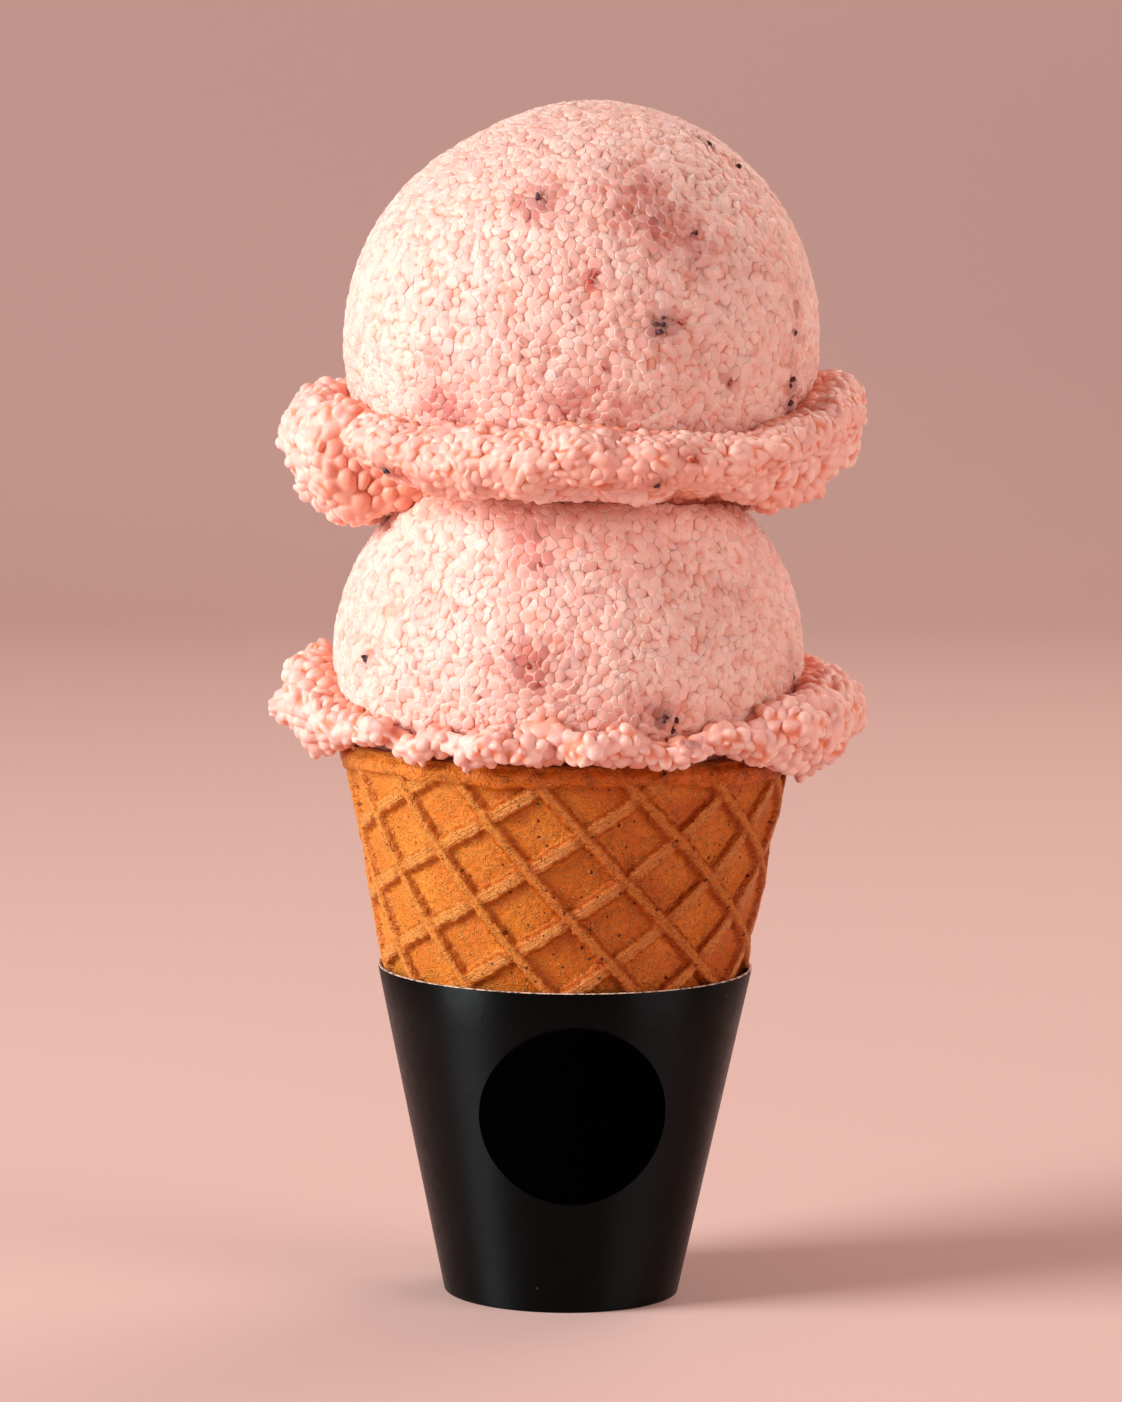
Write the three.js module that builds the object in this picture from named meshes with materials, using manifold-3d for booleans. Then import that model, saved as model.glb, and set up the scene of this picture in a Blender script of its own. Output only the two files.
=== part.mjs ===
// Ice cream cone: two balls on a rolled waffle cone that stands in a card sleeve.
// Millimetres, +Z up, the front towards -Y. The origin is the centre of the sleeve's base.
// Azimuths are degrees from the front, growing towards +X.

import * as THREE from 'three';
import { mergeGeometries, mergeVertices } from 'three/addons/utils/BufferGeometryUtils.js';
import Module from 'manifold-3d';

const wasm = await Module();
wasm.setup();

// Clearance between touching pieces
const GAP = 0.3;

// Card sleeve
const SLEEVE_BASE_RADIUS = 15.5;
const SLEEVE_RIM_RADIUS = 24.77;
const SLEEVE_HEIGHT = 43.7;
const SLEEVE_WALL = 0.45;
const SLEEVE_FLOOR = 0.9;
const SLEEVE_SIDES = 60;
const SLEEVE_TAPER = (SLEEVE_RIM_RADIUS - SLEEVE_BASE_RADIUS) / SLEEVE_HEIGHT;

// Round label on the front of the sleeve
const LABEL_RADIUS = 12;
const LABEL_THICKNESS = 0.25;
const LABEL_LIFT = 0.1;
const LABEL_HEIGHT = 27;
const LABEL_AZIMUTH = 3.8;
const LABEL_SIDES = 32;
const LABEL_MARGIN = 1;

// Waffle cone
const CONE_RADIUS = 24.27;
const CONE_RADIUS_HEIGHT = 44;
const CONE_TAPER = 0.19;
const CONE_RIM_HEIGHT = 73.6;
const CONE_WALL = 2.8;
const CONE_FLOOR = 3;
const CONE_FOOT_HEIGHT = SLEEVE_FLOOR + GAP;
const CONE_SHOULDER_HEIGHT = 42.6;
const CONE_SIDES = 40;

// Plain band that runs round the cone's rim, in waves
const BAND_HEIGHT = 70;
const BAND_FRONT_RISE = 0.8;
const BAND_WAVE = 0.3;
const BAND_WAVES = 5;
const BAND_PROUD = 0.35;
const BAND_DEPTH = 1.4;

// Waffle pattern, laid out on the cone unrolled flat round its apex
const APEX_HEIGHT = CONE_RADIUS_HEIGHT - CONE_RADIUS / CONE_TAPER;
const HALF_ANGLE = Math.atan(CONE_TAPER);
const LATTICE_ACROSS = 0.62;
const LATTICE_UP = 139.4;
const FALLING_STEP = 8.48;
const FALLING_ANGLE = -48.6;
const RISING_STEP = 8.79;
const RISING_ANGLE = 33.8;
const RIB_SHARE = 0.1;
const CELL_DEPTH = 0.85;
const CELL_FLOOR_SCALE = 0.88;
const CUTTER_HEADROOM = 0.6;
const LAP_HALF_WIDTH = 1.3;
const LATTICE_REACH = 16;

// Ice cream balls
const BALL_RADIUS = 31.2;
const LOWER_BALL_HEIGHT = 83;
const UPPER_BALL_HEIGHT = 126.3;
const UPPER_BALL_SHIFT = 1.2;
const BALL_DETAIL = 7;
const BALL_SWELL = 0.35;
const BALL_SWELL_SIZE = 24;

// Flatter patch high on the left of the upper ball
const SHOULDER_AZIMUTH = -85;
const SHOULDER_ELEVATION = 55;
const SHOULDER_DEPTH = 1.4;
const SHOULDER_SPREAD = 24;

// Ice cream pressed down inside the cone
const PLUG_TOP_HEIGHT = 78;

// Rolled collars at the foot of each ball: one row for every 30 degrees from the front,
// with the collar's reach from the ball's axis, its lowest height and its highest height
const LOWER_COLLAR = [
  [36.3, 73.1, 79.8], [37.0, 73.7, 78.6], [39.0, 71.6, 82.4],
  [38.8, 69.2, 84.2], [37.8, 70.4, 83.0], [37.0, 71.6, 82.0],
  [36.6, 71.6, 82.4], [37.0, 71.2, 83.4], [37.8, 71.0, 84.6],
  [38.5, 71.2, 85.0], [36.8, 73.2, 79.2], [36.2, 73.3, 78.8],
];
const UPPER_COLLAR = [
  [34.0, 108.6, 114.6], [34.0, 108.4, 114.6], [34.4, 108.8, 116.4],
  [36.2, 105.6, 119.4], [37.4, 102.4, 120.4], [38.0, 101.6, 119.6],
  [38.0, 101.4, 119.0], [38.2, 101.2, 119.6], [38.8, 101.0, 120.2],
  [39.3, 101.0, 120.2], [37.0, 103.0, 118.0], [34.4, 106.8, 115.6],
];
// A thinner roll lies over the front of the upper collar, with both its ends free
const FRONT_ROLL = [
  [37.4, 106.8, 116.8], [37.2, 106.3, 116.8], [37.2, 107.0, 117.8],
  [37.2, 106.7, 116.2], [37.4, 110.0, 118.6], [37.2, 111.8, 122.8], [36.4, 112.6, 122.4],
];
const FRONT_ROLL_START = -60;
const STATION_STEP = 30;
const FRONT_ROLL_FROM = -63;
const FRONT_ROLL_TO = 112;
const ROLL_END_ANGLE = 9;
const ROLL_END_SCALE = 0.25;
const ROLL_INNER_STRETCH = 1.8;
const ROLL_WIDTH_BASE = 2.9;
const ROLL_WIDTH_SHARE = 0.5;
const ROLL_SHARPNESS = 1.5;
const ROLL_LUMP = 0.8;
const ROLL_LUMP_SIZE = 9;
const ROLL_POINTS = 11;
const COLLAR_RINGS = 60;
const FRONT_ROLL_RINGS = 32;

const radians = THREE.MathUtils.degToRad;

// A closed geometry as a solid for joining and cutting
function solid(geometry) {
  const bare = geometry.clone();
  bare.deleteAttribute('normal');
  bare.deleteAttribute('uv');
  const merged = mergeVertices(bare);
  return new wasm.Manifold(new wasm.Mesh({
    numProp: 3,
    vertProperties: new Float32Array(merged.attributes.position.array),
    triVerts: new Uint32Array(merged.index.array),
  }));
}

// The largest closed skin of a solid, without loose scraps or sealed hollows
function oneBody(body) {
  const skins = body.decompose();
  skins.sort((first, second) => second.volume() - first.volume());
  return skins[0];
}

// A solid as a named mesh with its own material
function namedMesh(name, body, material) {
  const { vertProperties, triVerts } = body.getMesh();
  const geometry = new THREE.BufferGeometry();
  geometry.setAttribute('position', new THREE.BufferAttribute(vertProperties, 3));
  geometry.setIndex(new THREE.BufferAttribute(triVerts, 1));
  geometry.computeVertexNormals();
  const mesh = new THREE.Mesh(geometry, new THREE.MeshStandardMaterial(material));
  mesh.name = name;
  return mesh;
}

// A profile of [radius, height] pairs turned round the Z axis
function turned(profile, sides) {
  const points = profile.map(([radius, height]) => new THREE.Vector2(radius, height));
  return solid(new THREE.LatheGeometry(points, sides).rotateX(Math.PI / 2));
}

// A point from its azimuth in degrees, its distance from the axis and its height
function onAzimuth(azimuth, radius, height) {
  const angle = radians(azimuth);
  return new THREE.Vector3(radius * Math.sin(angle), -radius * Math.cos(angle), height);
}

function geometryOf(points, triangles) {
  const geometry = new THREE.BufferGeometry().setFromPoints(points);
  geometry.setIndex(triangles);
  return geometry;
}

// Gentle unevenness between -1 and 1, with swellings about `size` apart
function unevenness(point, size) {
  const pace = (2 * Math.PI) / size;
  const { x, y, z } = point;
  const first = Math.sin(pace * x + 1.3) * Math.sin(pace * y + 0.7);
  const second = Math.sin(0.83 * pace * y + 2.1) * Math.sin(0.83 * pace * z + 0.4);
  const third = Math.sin(0.71 * pace * z + 4.2) * Math.sin(0.71 * pace * x + 5.1);
  return (first + second + third) / 2;
}

// A value between stations that stand STATION_STEP apart, on a smooth curve through them
function between(stations, place, column, closed) {
  const count = stations.length;
  const pick = (index) => {
    const wrapped = closed ? (index + count) % count : THREE.MathUtils.clamp(index, 0, count - 1);
    return stations[wrapped][column];
  };
  const at = Math.floor(place);
  const part = place - at;
  const [before, low, high, after] = [pick(at - 1), pick(at), pick(at + 1), pick(at + 2)];
  const square = part * part;
  const cube = square * part;
  return low + ((high - before) * part
    + (2 * before - 5 * low + 4 * high - after) * square
    + (3 * low - before - 3 * high + after) * cube) / 2;
}

// One ring of a roll: an egg-shaped section whose inner side reaches into the ball
function rollRing(azimuth, reach, bottom, top, scale) {
  const halfHeight = ((top - bottom) / 2) * scale;
  const halfWidth = (ROLL_WIDTH_BASE + (ROLL_WIDTH_SHARE * (top - bottom)) / 2) * scale;
  const centreRadius = reach - halfWidth / scale;
  const centreHeight = (top + bottom) / 2;
  const ring = [];
  for (let step = 0; step < ROLL_POINTS; step += 1) {
    const turn = (2 * Math.PI * step) / ROLL_POINTS;
    const side = Math.cos(turn) < 0 ? -ROLL_INNER_STRETCH : 1;
    const outwards = side * Math.abs(Math.cos(turn)) ** ROLL_SHARPNESS;
    const plain = onAzimuth(
      azimuth,
      centreRadius + halfWidth * outwards,
      centreHeight + halfHeight * Math.sin(turn),
    );
    const lump = ROLL_LUMP * scale * unevenness(plain, ROLL_LUMP_SIZE);
    ring.push(onAzimuth(
      azimuth,
      centreRadius + (halfWidth + lump) * outwards,
      centreHeight + (halfHeight + lump) * Math.sin(turn),
    ));
  }
  return ring;
}

// Rings joined into a closed skin, either last to first or with a point at each end
function skinned(rings, closed) {
  const around = rings[0].length;
  const points = rings.flat();
  const triangles = [];
  const last = rings.length - 1;
  for (let ring = 0; ring < (closed ? rings.length : last); ring += 1) {
    const here = ring * around;
    const next = ((ring + 1) % rings.length) * around;
    for (let step = 0; step < around; step += 1) {
      const up = (step + 1) % around;
      triangles.push(here + step, next + step, next + up);
      triangles.push(here + step, next + up, here + up);
    }
  }
  if (!closed) {
    const middle = (ring) => ring.reduce((sum, point) => sum.add(point), new THREE.Vector3())
      .divideScalar(around);
    const start = points.push(middle(rings[0])) - 1;
    const end = points.push(middle(rings[last])) - 1;
    for (let step = 0; step < around; step += 1) {
      const up = (step + 1) % around;
      triangles.push(step, up, start);
      triangles.push(last * around + up, last * around + step, end);
    }
  }
  return geometryOf(points, triangles);
}

// A collar that runs all the way round a ball
function collar(stations) {
  const rings = [];
  for (let ring = 0; ring < COLLAR_RINGS; ring += 1) {
    const azimuth = (360 * ring) / COLLAR_RINGS;
    const place = azimuth / STATION_STEP;
    const [reach, bottom, top] = [0, 1, 2].map((column) => between(stations, place, column, true));
    rings.push(rollRing(azimuth, reach, bottom, top, 1));
  }
  return skinned(rings, true);
}

// The roll over the front of the upper collar, which rounds off towards both its ends
function frontRoll() {
  const rings = [];
  for (let ring = 0; ring <= FRONT_ROLL_RINGS; ring += 1) {
    const share = ring / FRONT_ROLL_RINGS;
    const azimuth = THREE.MathUtils.lerp(FRONT_ROLL_FROM, FRONT_ROLL_TO, share);
    const place = (azimuth - FRONT_ROLL_START) / STATION_STEP;
    const [reach, bottom, top] = [0, 1, 2].map((column) => between(FRONT_ROLL, place, column, false));
    const fromEnd = Math.min(azimuth - FRONT_ROLL_FROM, FRONT_ROLL_TO - azimuth);
    const lack = Math.max(0, 1 - fromEnd / ROLL_END_ANGLE);
    const scale = Math.max(ROLL_END_SCALE, Math.sqrt(1 - lack * lack));
    rings.push(rollRing(azimuth, reach, bottom, top, scale));
  }
  return skinned(rings, false);
}

// How far the flat patch on the shoulder lies below the round ball in a direction
function shoulderSink(direction) {
  const level = Math.cos(radians(SHOULDER_ELEVATION));
  const centre = onAzimuth(SHOULDER_AZIMUTH, level, Math.sin(radians(SHOULDER_ELEVATION)));
  const away = direction.angleTo(centre) / radians(SHOULDER_SPREAD);
  return SHOULDER_DEPTH * Math.exp(-away * away);
}

// A slightly uneven ball round a centre
function ball(radius, centre, sinkOf) {
  const geometry = new THREE.IcosahedronGeometry(BALL_RADIUS, BALL_DETAIL);
  const place = geometry.attributes.position;
  const point = new THREE.Vector3();
  for (let index = 0; index < place.count; index += 1) {
    point.fromBufferAttribute(place, index);
    const swell = BALL_SWELL * unevenness(point.clone().add(centre), BALL_SWELL_SIZE);
    point.setLength(radius + swell - sinkOf(point)).add(centre);
    place.setXYZ(index, point.x, point.y, point.z);
  }
  return solid(geometry);
}

const sleeveRadius = (height) => SLEEVE_BASE_RADIUS + SLEEVE_TAPER * height;
const coneRadius = (height) => CONE_RADIUS + CONE_TAPER * (height - CONE_RADIUS_HEIGHT);
const nestedRadius = (height) => sleeveRadius(height) - SLEEVE_WALL - GAP;

// Card sleeve with a flat base and a thin wall
function paperSleeve() {
  return turned([
    [0, 0],
    [SLEEVE_BASE_RADIUS, 0],
    [SLEEVE_RIM_RADIUS, SLEEVE_HEIGHT],
    [SLEEVE_RIM_RADIUS - SLEEVE_WALL, SLEEVE_HEIGHT],
    [sleeveRadius(SLEEVE_FLOOR) - SLEEVE_WALL, SLEEVE_FLOOR],
    [0, SLEEVE_FLOOR],
  ], SLEEVE_SIDES);
}

// Round label bent to the sleeve's front
function roundLabel() {
  const low = LABEL_HEIGHT - LABEL_RADIUS - LABEL_MARGIN;
  const high = LABEL_HEIGHT + LABEL_RADIUS + LABEL_MARGIN;
  const inner = LABEL_LIFT;
  const outer = LABEL_LIFT + LABEL_THICKNESS;
  const skin = turned([
    [sleeveRadius(low) + inner, low],
    [sleeveRadius(low) + outer, low],
    [sleeveRadius(high) + outer, high],
    [sleeveRadius(high) + inner, high],
    [sleeveRadius(low) + inner, low],
  ], SLEEVE_SIDES);
  const reach = 2 * SLEEVE_RIM_RADIUS;
  const punch = new THREE.CylinderGeometry(LABEL_RADIUS, LABEL_RADIUS, reach, LABEL_SIDES);
  punch.translate(0, -reach / 2, 0);
  punch.rotateZ(radians(LABEL_AZIMUTH));
  punch.translate(0, 0, LABEL_HEIGHT);
  return oneBody(skin.intersect(solid(punch)));
}

// A place on the unrolled cone, lifted off it by `lift`, put where the rolled cone has it
function rolledUp(across, up, lift) {
  const slant = Math.hypot(across, up);
  const azimuth = THREE.MathUtils.radToDeg(Math.atan2(across, up)) / Math.sin(HALF_ANGLE);
  return onAzimuth(
    azimuth,
    slant * Math.sin(HALF_ANGLE) + lift * Math.cos(HALF_ANGLE),
    APEX_HEIGHT + slant * Math.cos(HALF_ANGLE) - lift * Math.sin(HALF_ANGLE),
  );
}

// The part of a flat outline on the inner side of one edge of the unrolled cone
function trimmed(outline, side) {
  const edge = Math.PI * Math.sin(HALF_ANGLE);
  const inside = ({ x, y }) => y * Math.sin(edge) - side * x * Math.cos(edge) - LAP_HALF_WIDTH;
  const kept = [];
  outline.forEach((corner, index) => {
    const next = outline[(index + 1) % outline.length];
    const here = inside(corner);
    const there = inside(next);
    if (here >= 0) {
      kept.push(corner);
    }
    if (here * there < 0) {
      kept.push(corner.clone().lerp(next, here / (here - there)));
    }
  });
  return kept;
}

// The cutter of one waffle cell, from above the cone's face down to the cell's floor
function cellCutter(outline) {
  const corners = outline.flatMap((corner, index) => {
    const next = outline[(index + 1) % outline.length];
    return [corner, corner.clone().lerp(next, 0.5)];
  });
  const middle = outline.reduce((sum, corner) => sum.add(corner), new THREE.Vector2())
    .divideScalar(outline.length);
  const count = corners.length;
  const points = [
    ...corners.map(({ x, y }) => rolledUp(x, y, CUTTER_HEADROOM)),
    ...corners.map((corner) => {
      const drawnIn = middle.clone().lerp(corner, CELL_FLOOR_SCALE);
      return rolledUp(drawnIn.x, drawnIn.y, -CELL_DEPTH);
    }),
    rolledUp(middle.x, middle.y, CUTTER_HEADROOM),
    rolledUp(middle.x, middle.y, -CELL_DEPTH),
  ];
  const [lidMiddle, floorMiddle] = [2 * count, 2 * count + 1];
  const triangles = [];
  for (let index = 0; index < count; index += 1) {
    const next = (index + 1) % count;
    triangles.push(lidMiddle, index, next);
    triangles.push(next, index, count + index);
    triangles.push(next, count + index, count + next);
    triangles.push(floorMiddle, count + next, count + index);
  }
  return geometryOf(points, triangles);
}

// All the cells that show between the sleeve and the rim band, as one cutter
function waffleCells() {
  const step = (length, angle) => new THREE.Vector2(length, 0)
    .rotateAround(new THREE.Vector2(), radians(angle));
  const falling = step(FALLING_STEP, FALLING_ANGLE);
  const rising = step(RISING_STEP, RISING_ANGLE);
  const first = new THREE.Vector2(LATTICE_ACROSS, LATTICE_UP);
  const slantAt = (height) => (height - APEX_HEIGHT) / Math.cos(HALF_ANGLE);
  const cutters = [];
  for (let row = -LATTICE_REACH; row <= LATTICE_REACH; row += 1) {
    for (let column = -LATTICE_REACH; column <= LATTICE_REACH; column += 1) {
      const corner = (down, along) => first.clone()
        .addScaledVector(falling, row + down)
        .addScaledVector(rising, column + along);
      const [near, far] = [RIB_SHARE, 1 - RIB_SHARE];
      const whole = [corner(near, near), corner(far, near), corner(far, far), corner(near, far)];
      const outline = trimmed(trimmed(whole, 1), -1);
      const slants = outline.map((point) => point.length());
      const shows = Math.max(...slants) > slantAt(SLEEVE_HEIGHT)
        && Math.min(...slants) < slantAt(BAND_HEIGHT);
      if (outline.length > 2 && shows) {
        cutters.push(cellCutter(outline));
      }
    }
  }
  return solid(mergeGeometries(cutters));
}

// Plain raised band round the rim, whose lower edge waves up and down
function rimBand() {
  const rings = [];
  for (let ring = 0; ring < CONE_SIDES; ring += 1) {
    const azimuth = (360 * ring) / CONE_SIDES;
    const rise = BAND_FRONT_RISE * Math.cos(radians(azimuth));
    const low = BAND_HEIGHT + rise + BAND_WAVE * Math.sin(BAND_WAVES * radians(azimuth));
    rings.push([
      onAzimuth(azimuth, coneRadius(low) + BAND_PROUD, low),
      onAzimuth(azimuth, coneRadius(CONE_RIM_HEIGHT) + BAND_PROUD, CONE_RIM_HEIGHT),
      onAzimuth(azimuth, coneRadius(CONE_RIM_HEIGHT) - BAND_DEPTH, CONE_RIM_HEIGHT),
      onAzimuth(azimuth, coneRadius(low) - BAND_DEPTH, low),
    ]);
  }
  return skinned(rings, true);
}

// Rolled waffle cone with sunk cells between its ribs
function waffleCone() {
  const innerFloor = CONE_FOOT_HEIGHT + CONE_FLOOR;
  const cup = turned([
    [0, CONE_FOOT_HEIGHT],
    [nestedRadius(CONE_FOOT_HEIGHT), CONE_FOOT_HEIGHT],
    [nestedRadius(CONE_SHOULDER_HEIGHT), CONE_SHOULDER_HEIGHT],
    [coneRadius(CONE_RADIUS_HEIGHT), CONE_RADIUS_HEIGHT],
    [coneRadius(CONE_RIM_HEIGHT), CONE_RIM_HEIGHT],
    [coneRadius(CONE_RIM_HEIGHT) - CONE_WALL, CONE_RIM_HEIGHT],
    [nestedRadius(innerFloor) - CONE_WALL, innerFloor],
    [0, innerFloor],
  ], CONE_SIDES);
  return oneBody(cup.subtract(waffleCells()).add(solid(rimBand())));
}

// The room that the cone's wall takes, with the clearance round it
function coneRoom() {
  const top = CONE_RIM_HEIGHT + GAP;
  const foot = CONE_FOOT_HEIGHT;
  const outside = BAND_PROUD + GAP;
  const inside = CONE_WALL + GAP;
  return turned([
    [nestedRadius(foot) - inside, foot],
    [nestedRadius(foot) + outside, foot],
    [coneRadius(top) + outside, top],
    [coneRadius(top) - inside, top],
    [nestedRadius(foot) - inside, foot],
  ], CONE_SIDES);
}

// Ice cream that fills the cone's inside
function plug() {
  const foot = CONE_FOOT_HEIGHT + CONE_FLOOR + GAP;
  const radiusAt = (height) => THREE.MathUtils.mapLinear(
    height,
    CONE_FOOT_HEIGHT,
    CONE_RIM_HEIGHT + GAP,
    nestedRadius(CONE_FOOT_HEIGHT),
    coneRadius(CONE_RIM_HEIGHT + GAP),
  ) - CONE_WALL - GAP;
  return turned([
    [0, foot],
    [radiusAt(foot), foot],
    [radiusAt(PLUG_TOP_HEIGHT), PLUG_TOP_HEIGHT],
    [0, PLUG_TOP_HEIGHT],
  ], CONE_SIDES);
}

const lowerCentre = new THREE.Vector3(0, 0, LOWER_BALL_HEIGHT);
const upperCentre = new THREE.Vector3(UPPER_BALL_SHIFT, 0, UPPER_BALL_HEIGHT);
const noSink = () => 0;

// Lower ball with its collar, and the ice cream in the cone below it
function lowerScoop() {
  const body = ball(BALL_RADIUS, lowerCentre, noSink).add(solid(collar(LOWER_COLLAR)));
  return oneBody(body.add(plug()).subtract(coneRoom()));
}

// Upper ball with its collars, hollowed below where it sits on the lower ball
function upperScoop() {
  const rolls = [collar(UPPER_COLLAR), frontRoll()].map((roll) => roll.translate(UPPER_BALL_SHIFT, 0, 0));
  const body = ball(BALL_RADIUS, upperCentre, shoulderSink).add(solid(rolls[0])).add(solid(rolls[1]));
  return oneBody(body.subtract(ball(BALL_RADIUS + GAP, lowerCentre, noSink)));
}

const iceCream = { color: '#e9b0a3', roughness: 0.6, metalness: 0 };

const cone = new THREE.Group();
cone.add(
  namedMesh('paper_sleeve', paperSleeve(), { color: '#0f0c0d', roughness: 0.45, metalness: 0 }),
  namedMesh('round_label', roundLabel(), { color: '#020202', roughness: 0.6, metalness: 0 }),
  namedMesh('waffle_cone', waffleCone(), { color: '#b9642a', roughness: 0.7, metalness: 0 }),
  namedMesh('lower_scoop', lowerScoop(), iceCream),
  namedMesh('upper_scoop', upperScoop(), iceCream),
);

export default cone;
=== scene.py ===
"""Double-scoop ice cream cone that stands in a card sleeve.

The file is laid out as an add-on: every piece has its own operator, its sizes and colours are
properties, and main() runs the operators in order. The settings are in metres, as Blender is,
and the shape functions work in millimetres. Azimuths run from the front (-Y) towards +X.
"""

import math

import bmesh
import bpy
import numpy as np
from bpy.props import FloatProperty, FloatVectorProperty, IntProperty, PointerProperty
from mathutils import Matrix, Vector
from mathutils.bvhtree import BVHTree
from mathutils.geometry import delaunay_2d_cdt


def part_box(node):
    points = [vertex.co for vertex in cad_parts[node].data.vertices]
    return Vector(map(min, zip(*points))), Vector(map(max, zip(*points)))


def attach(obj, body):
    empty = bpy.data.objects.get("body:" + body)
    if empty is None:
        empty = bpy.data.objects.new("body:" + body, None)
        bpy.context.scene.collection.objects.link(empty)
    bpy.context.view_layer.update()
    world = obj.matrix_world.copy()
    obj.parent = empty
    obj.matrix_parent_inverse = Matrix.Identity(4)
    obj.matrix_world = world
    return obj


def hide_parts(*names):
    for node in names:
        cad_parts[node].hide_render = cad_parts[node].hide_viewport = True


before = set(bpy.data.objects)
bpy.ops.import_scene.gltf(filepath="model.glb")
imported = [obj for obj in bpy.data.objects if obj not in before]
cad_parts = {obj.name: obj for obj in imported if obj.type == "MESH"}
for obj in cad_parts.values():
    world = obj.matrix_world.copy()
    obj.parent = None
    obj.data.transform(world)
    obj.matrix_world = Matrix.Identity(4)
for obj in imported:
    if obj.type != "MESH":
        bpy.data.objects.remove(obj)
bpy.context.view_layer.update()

bl_info = {
    "name": "Ice Cream Cone",
    "version": (1, 0, 0),
    "blender": (4, 5, 0),
    "location": "3D View > Sidebar > Ice Cream",
    "description": "Builds a double-scoop ice cream cone in a card sleeve",
    "category": "Object",
}

MM = 0.001
BODY = "root"

# Fineness of the meshes
WAFFLE_ROWS = 118
WAFFLE_COLUMNS = 640
SLEEVE_COLUMNS = 256
LABEL_COLUMNS = 96
LABEL_RINGS = 9
FLOOR_STEPS = 13

# Darts thrown for the middles of the grains, and the share of those out of sight that is tried
BALL_DARTS = 60000
COLLAR_DARTS = 30000
FRONT_ROLL_DARTS = 20000
CLUMP_DARTS = 6000
HIDDEN_SHARE = 0.1

# Spacing of the darts as a share of the grains' size, and how much wider it is out of sight
GRAIN_SPACING = 0.8
CRUMB_SPACING = 0.6
HIDDEN_BALL_SPACING = 3
HIDDEN_ROLL_SPACING = 2.4

# Heights between which the balls and their undersides show, how far back an underside shows as
# a share of the radius, and how deep in a ball the grains of a collar still show
LOWER_SHOWS = (77, 109)
LOWER_UNDER = (0, 0)
UPPER_SHOWS = (113, 999)
UPPER_UNDER = (102, 109)
UNDER_FRONT = 0.3
COLLAR_SUNK = 1.5

# The flat strip that a roll's surface is unrolled to, and the margin about it
STRIP_RADIUS = 36
STRIP_HEIGHT = 30
STRIP_MARGIN = 9

# Shape of the rolled collars: a row for every 30 degrees from the front, with the reach from
# the ball's axis, the lowest height and the highest height, in millimetres
LOWER_COLLAR = np.array([
    [36.3, 73.1, 79.8], [37.0, 73.7, 78.6], [39.0, 71.6, 82.4],
    [38.8, 69.2, 84.2], [37.8, 70.4, 83.0], [37.0, 71.6, 82.0],
    [36.6, 71.6, 82.4], [37.0, 71.2, 83.4], [37.8, 71.0, 84.6],
    [38.5, 71.2, 85.0], [36.8, 73.2, 79.2], [36.2, 73.3, 78.8],
])
UPPER_COLLAR = np.array([
    [33.4, 106.8, 114.6], [33.4, 106.8, 114.6], [34.4, 105.6, 116.4],
    [36.2, 105.6, 119.4], [37.4, 102.4, 120.4], [38.0, 101.6, 119.6],
    [38.0, 101.4, 119.0], [38.2, 101.2, 119.6], [38.8, 101.0, 120.2],
    [39.3, 101.0, 120.2], [37.0, 103.0, 118.0], [33.8, 106.2, 115.6],
])
FRONT_ROLL = np.array([
    [37.2, 110.4, 118.0], [37.2, 106.5, 116.8], [37.2, 108.0, 117.8],
    [37.2, 108.0, 116.2], [37.4, 110.8, 118.6], [37.2, 112.0, 122.8], [36.4, 112.6, 122.4],
])
STATION_STEP = 30
FRONT_ROLL_START = -60
FRONT_ROLL_FROM = -63
FRONT_ROLL_TO = 112
ROLL_END_ANGLE = 9
ROLL_END_SCALE = 0.25
ROLL_END_MARGIN = 0.008
ROLL_INNER_STRETCH = 1.8
ROLL_SHARPNESS = 1.5
ROLL_WIDTH_BASE = 2.9
ROLL_WIDTH_SHARE = 0.5
ROLL_LUMP = 0.8
ROLL_LUMP_SIZE = 9

# Flatter patch high on the left of the upper ball
SHOULDER_AZIMUTH = -85
SHOULDER_ELEVATION = 55
SHOULDER_DEPTH = 1.4
SHOULDER_SPREAD = 24

# The lower ball is drawn in at the cone: how deep, and from where over what length, as shares
# of its radius
NECK_DEPTH = 2.4
NECK_FROM = -0.18
NECK_LENGTH = 0.12

# It bulges in front under the upper ball: how far, and the elevations and azimuths over which
# the bulge rises from nothing to full
BULGE = 2.6
BULGE_ELEVATIONS = (22, 44)
BULGE_AZIMUTHS = (88, 50)

BALL_SWELL = 0.35
BALL_SWELL_SIZE = 24

# The grains stand on a surface that lies this far inside the outline
BALL_INSET = 0.2
ROLL_INSET = 1.0
ROLL_END_GRAINS = 5

# Where the collars' upper edges lean out: centre and half of the span, in degrees, and lean
UPPER_FLARES = [(-92, 28, 2.2), (112, 40, 4.8)]
LOWER_FLARES = [(-88, 30, 1.6), (80, 34, 2.0)]
FRONT_ROLL_FLARES = [(84, 40, 2.6)]
# Level on the roll's section from which its edge leans
FLARE_FROM = -0.2
# Where the upper collar is drawn in beside the front roll: centre, half of the span, depth
UPPER_HOLLOW = (-50, 17, 9.0)
# How round the flares and the hollow are at their ends
BUMP_ROUNDNESS = 0.6

# Clumps that the beads of the collars form, and the level on them that keeps its place
CLUMP_SPACING = 5.0
CLUMP_RADIUS = 3.5
CLUMP_RISE = 2.2
CLUMP_LEVEL = 0.6

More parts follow.
